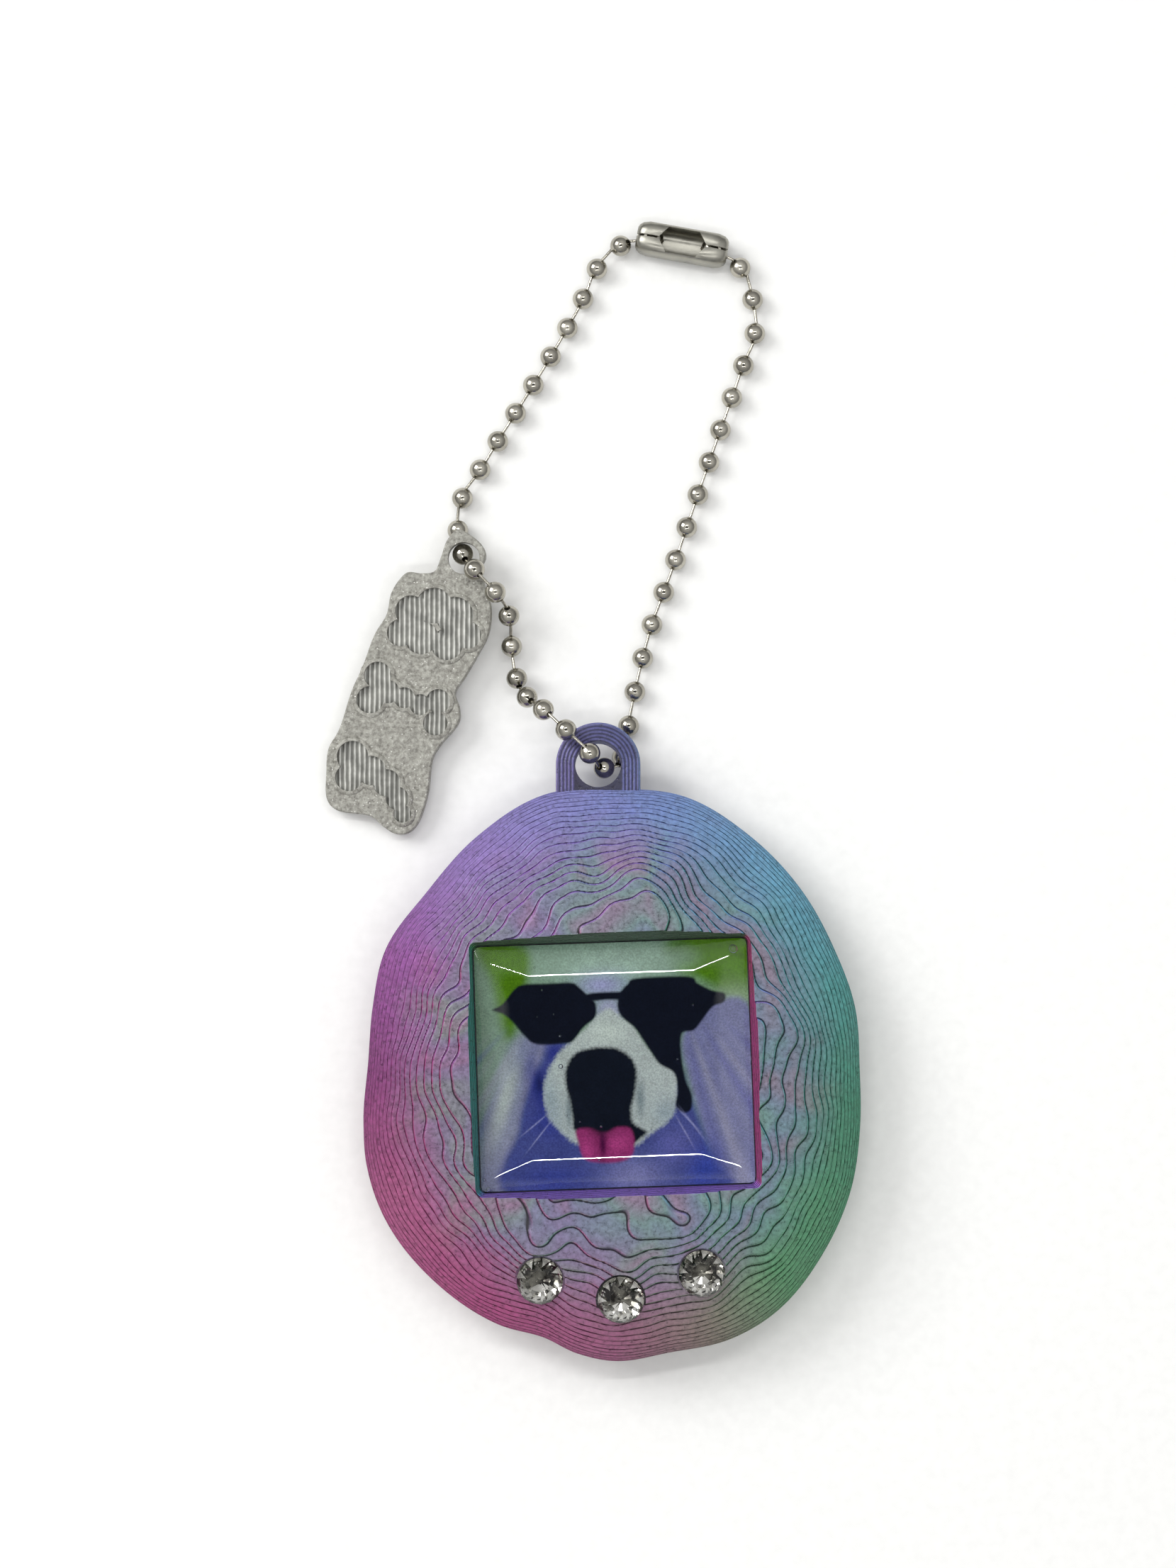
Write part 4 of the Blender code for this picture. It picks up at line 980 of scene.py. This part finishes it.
plug(dull.outputs[0], shader, "Roughness")
# Rows of extruded plastic, 0.42 mm apart, run along the tag.
rows = node(GLITTER, "TexWave", {"Vector": place.outputs["Object"], "Scale": 1000 / 0.42 / 20,
                                 "Distortion": 1.6,
                                 "Detail": 2.0, "Detail Scale": 3.0}, bands_direction="X")
ridge = node(GLITTER, "Bump", {"Height": rows.outputs["Fac"], "Strength": 0.8, "Distance": 0.00010})
rough = node(GLITTER, "Bump", {"Height": crumbs.outputs[0], "Strength": 0.9, "Distance": 0.00016,
                               "Normal": ridge.outputs[0]})
plug(rough.outputs[0], shader, "Normal")
# The pools' floors: bare grey rows of silk-smooth filament, 0.47 mm apart, each with a painted highlight
# along its crest.
POOL_FLOOR, shader = finish("silver_filament_bare_rows")
place = node(POOL_FLOOR, "TexCoord")
axes_of = node(POOL_FLOOR, "SeparateXYZ", {0: place.outputs["Object"]})
wander = node(POOL_FLOOR, "TexNoise", {"Vector": place.outputs["Object"], "Scale": 500.0, "Detail": 2.0})
shift = node(POOL_FLOOR, "Math", {0: wander.outputs[0], 1: 2.2}, operation="MULTIPLY")
count = node(POOL_FLOOR, "Math", {0: axes_of.outputs[0], 1: 2 * math.pi / 0.00047}, operation="MULTIPLY")
phase = node(POOL_FLOOR, "Math", {0: count.outputs[0], 1: shift.outputs[0]}, operation="ADD")
swell = node(POOL_FLOOR, "Math", {0: phase.outputs[0]}, operation="SINE")
streak = node(POOL_FLOOR, "MapRange", {0: swell.outputs[0], 1: -1.0, 2: 1.0})
row_tone_and_highlight = node(POOL_FLOOR, "ValToRGB", {0: streak.outputs[0]}, stops=[
    (0.0, "#74746f"), (0.45, "#878781"), (0.80, "#9c9c96"), (1.0, "#d6d6d0")])
patchy = node(POOL_FLOOR, "TexNoise", {"Vector": place.outputs["Object"], "Scale": 900.0, "Detail": 2.0})
fleck = node(POOL_FLOOR, "MapRange", {0: patchy.outputs[0], 1: 0.35, 2: 0.65, 3: 0.72, 4: 1.25})
row_tone_highlight_and_fleck = node(POOL_FLOOR, "Mix", {0: 1.0, 6: row_tone_and_highlight.outputs[0], 7: fleck.outputs[0]},
                 data_type="RGBA", blend_type="MULTIPLY")
plug(row_tone_highlight_and_fleck.outputs[2], shader, "Base Color")
shader.inputs["Metallic"].default_value = 0.45
shader.inputs["Roughness"].default_value = 0.30
row_bump = node(POOL_FLOOR, "Bump", {"Height": streak.outputs[0], "Strength": 1.0, "Distance": 0.00006})
plug(row_bump.outputs[0], shader, "Normal")
print("made", GLITTER.name, "and", POOL_FLOOR.name)

# %% The tag
TAG_HOLE, TAG_TURN, TAG_TILT, TAG_BACK = (-14.1, 48.65), math.radians(-13.0), math.radians(4.6), 2.2
TAG_THICKNESS, TAG_RECESS, TAG_BORE = 2.0, 0.55, 1.5
LIP_HEIGHT, LIP_WIDTH = 0.16, 0.42
TAG_OUTLINE = [
    (-1.1, 2.5), (0.3, 2.2), (1.5, 1.5), (2.0, 0.6), (1.9, -0.6), (2.6, -2.2), (3.6, -4.0), (3.9, -6.4),
    (3.4, -8.5), (2.7, -10.8), (2.1, -12.6), (2.8, -13.9), (3.0, -15.4), (1.8, -17.8), (1.4, -19.4),
    (1.7, -22.3), (1.5, -25.0), (0.8, -26.4), (-0.4, -26.8), (-1.7, -26.4), (-3.2, -25.7), (-6.1, -25.9),
    (-7.5, -25.0), (-8.1, -22.6), (-8.4, -20.4), (-7.8, -18.2), (-7.5, -14.6), (-7.0, -12.1),
    (-6.6, -9.0), (-5.9, -6.8), (-5.9, -4.6), (-5.0, -2.6), (-3.6, -2.3), (-2.4, -1.8), (-2.1, -0.3),
    (-1.9, 1.3),
]
TAG_PUDDLES = {
    "cloud": [(-3.7, -6.0, 1.5), (-1.7, -5.0, 1.7), (0.4, -5.5, 1.8), (2.0, -7.0, 1.3), (0.3, -8.3, 1.5),
              (-2.2, -8.2, 1.6), (-4.2, -8.2, 1.3)],
    "bone": [(-5.4, -12.6, 1.3), (-5.6, -15.0, 1.3), (-4.1, -13.9, 1.1), (-2.5, -14.1, 1.0),
             (-0.9, -14.4, 1.0), (0.7, -13.7, 1.15), (0.9, -15.8, 1.15)],
    "drop": [(-6.0, -20.6, 1.5), (-5.9, -22.6, 1.3), (-4.0, -21.5, 1.4), (-2.3, -22.3, 1.3),
             (-1.0, -23.5, 1.1), (-0.2, -24.8, 0.85)],
}


def drawn_in(outline, inset):
    """An outline moved inwards by inset, along the normals of its line."""
    p = np.array(outline)
    way = np.roll(p, -1, 0) - np.roll(p, 1, 0)
    way = way / np.linalg.norm(way, axis=1, keepdims=True)
    return p + inset * np.stack([way[:, 1], -way[:, 0]], 1)


loop = smooth_loop(TAG_OUTLINE, 8)
levels = [(0.12, 0.0), (0.03, 0.08)] + [(0.035 * (k % 2), 0.1 + 0.1 * k) for k in range(1, 17)]
levels += [(0.04, TAG_THICKNESS - LIP_HEIGHT - 0.08), (0.12, TAG_THICKNESS - LIP_HEIGHT)]
rings = [[(x, y, z) for x, y in drawn_in(loop, inset)] for inset, z in levels]
tag = piece("glitter_tag", *skin(rings), GLITTER, smooth=0)
# Each lip's section is a quarter round: full width at its foot, drawn in towards its top.
lips = []
for rounds in TAG_PUDDLES.values():
    for k, (x, y, r) in enumerate(rounds):
        foot, crest = TAG_THICKNESS - LIP_HEIGHT - 0.05, TAG_THICKNESS - 0.002 * k
        section = [(LIP_WIDTH, foot - 0.3), (LIP_WIDTH, foot), (LIP_WIDTH - 0.04, foot + 0.09),
                   (LIP_WIDTH - 0.12, crest - 0.05), (LIP_WIDTH - 0.24, crest)]
        lips.append(slab(f"lip_{k}", [(ring_of(x, y, r + wide, 28), z) for wide, z in section], GLITTER))
cut(tag, *lips, operation="UNION")
bore = slab("bore_tool", [(ring_of(0, 0, TAG_BORE), -1), (ring_of(0, 0, TAG_BORE), 4)], GLITTER)
tools = [bore]
for name, rounds in TAG_PUDDLES.items():
    for k, (x, y, r) in enumerate(rounds):
        # Each floor is a hair higher than the one before it, so no two in a pool lie level.
        pool = [(ring_of(x, y, r - 0.02, 28), TAG_THICKNESS - TAG_RECESS + 0.004 * k),
                (ring_of(x, y, r + 0.05, 28), 4)]
        tools.append(slab(f"{name}_tool_{k}", pool, GLITTER))
cut(tag, *tools)
tag.data.materials.append(POOL_FLOOR)
for face in tag.data.polygons:
    if face.normal.z > 0.9 and face.center.z < (TAG_THICKNESS - 0.3) * MM:
        face.material_index = 1
tag.data.transform(Matrix.Translation(Vector((*TAG_HOLE, TAG_BACK)) * MM) @ Matrix.Rotation(TAG_TURN, 4, "Z")
                   @ Matrix.Rotation(TAG_TILT, 4, "X"))
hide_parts("charm_tag")
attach(tag, home["charm_tag"])
print("tag:", len(tag.data.vertices), "points")

# %% [markdown]
# Small glossy things are lit best on a white table inside a light tent. The floor is a wide pale sheet,
# the tent is a soft grey world that brightens overhead, and two long narrow lamps give the resin its
# two thin bright lines. Two darker patches overhead, as if someone leaned in, give the beads the dark
# spots that make metal look like metal.

# %% Floor, tent and lamps
FLOOR_SHEET, shader = finish("matte_white_paper_sheet")
place = node(FLOOR_SHEET, "TexCoord")
fibres = node(FLOOR_SHEET, "TexNoise", {"Vector": place.outputs["Object"], "Scale": 900.0, "Detail": 3.0})
white = node(FLOOR_SHEET, "ValToRGB", {0: fibres.outputs[0]}, stops=[(0.2, "#f3f3f1"), (0.8, "#fafaf8")])
plug(white.outputs[0], shader, "Base Color")
shader.inputs["Roughness"].default_value = 0.9
HALF_FLOOR = 900
square = [(-HALF_FLOOR, -HALF_FLOOR), (HALF_FLOOR, -HALF_FLOOR), (HALF_FLOOR, HALF_FLOOR),
          (-HALF_FLOOR, HALF_FLOOR)]
ground = slab("floor", [(square, -3.0), (square, -0.02)], FLOOR_SHEET)

tent = bpy.data.worlds.new("light_tent")
tent.use_nodes = True
bpy.context.scene.world = tent
sky = tent.node_tree.nodes["Background"]
way = node(tent, "TexCoord")
split = node(tent, "SeparateXYZ", {0: way.outputs["Generated"]})
height = node(tent, "ValToRGB", {0: split.outputs[2]}, stops=[
    (0.0, "#9a9a9a"), (0.30, "#a4a4a4"), (0.62, "#c9c9c9"), (0.86, "#efefef"), (1.0, "#f4f4f4")])
mixed = height
# Each dark patch: its direction, the cosines between which it fades, and the light left at its middle.
DARK_PATCHES = [((0.03, -0.34, 0.94), 0.955, 0.985, 0.12), ((0.0, 0.0, 1.0), 0.955, 0.975, 0.05)]
for direction, edge, core, dark in DARK_PATCHES:
    lean_in = node(tent, "VectorMath", {0: way.outputs["Generated"], 1: direction},
                   operation="DOT_PRODUCT")
    shadow = node(tent, "MapRange", {0: lean_in.outputs["Value"], 1: edge, 2: core, 3: 1.0, 4: dark})
    under = mixed.outputs[0 if mixed is height else 2]
    mixed = node(tent, "Mix", {0: 1.0, 6: under, 7: shadow.outputs[0]},
                 data_type="RGBA", blend_type="MULTIPLY")
plug(mixed.outputs[2], sky, "Color")
sky.inputs["Strength"].default_value = 1.0


def lamp(name, place, aim, size, watts):
    """A soft rectangular lamp at a place in mm that points at another place."""
    data = bpy.data.lights.new(name, "AREA")
    data.shape, data.size, data.size_y, data.energy = "RECTANGLE", size[0] * MM, size[1] * MM, watts
    made = bpy.data.objects.new(name, data)
    made.location = Vector(place) * MM
    made.rotation_euler = (Vector(aim) - Vector(place)).to_track_quat("-Z", "Y").to_euler()
    bpy.context.scene.collection.objects.link(made)


lamp("tube_above", (-8, 150, 500), (0, 0.8, 8), (290, 6), 0.4)
lamp("tube_below", (15, -140, 500), (0, 0.8, 8), (330, 6), 0.4)
lamp("key_left", (-420, 260, 420), (0, 20, 0), (320, 320), 2.0)

# %% [markdown]
# The camera hangs almost straight above the object, 350 mm away, which keeps the perspective gentle. It
# aims at a point near the middle of the whole keychain. The egg's middle is the origin, and the chain's
# far end is at the top of the view.

# %% Camera
TARGET = Vector((-2.4, 27.2, 3.0)) * MM
DISTANCE, ELEVATION, TALL = 350 * MM, math.radians(85), math.radians(23.8)
data = bpy.data.cameras.new("overhead")
data.sensor_fit, data.angle = "VERTICAL", TALL
camera = bpy.data.objects.new("overhead", data)
camera.location = TARGET + DISTANCE * Vector((0, -math.cos(ELEVATION), math.sin(ELEVATION)))
camera.rotation_euler = (math.pi / 2 - ELEVATION, 0, 0)
data.clip_start, data.clip_end = 0.01, 10
bpy.context.scene.collection.objects.link(camera)
bpy.context.scene.camera = camera
bpy.context.scene.view_settings.view_transform = "Standard"
bpy.context.scene.view_settings.look = "None"
print("camera at", [round(v / MM) for v in camera.location], "mm")
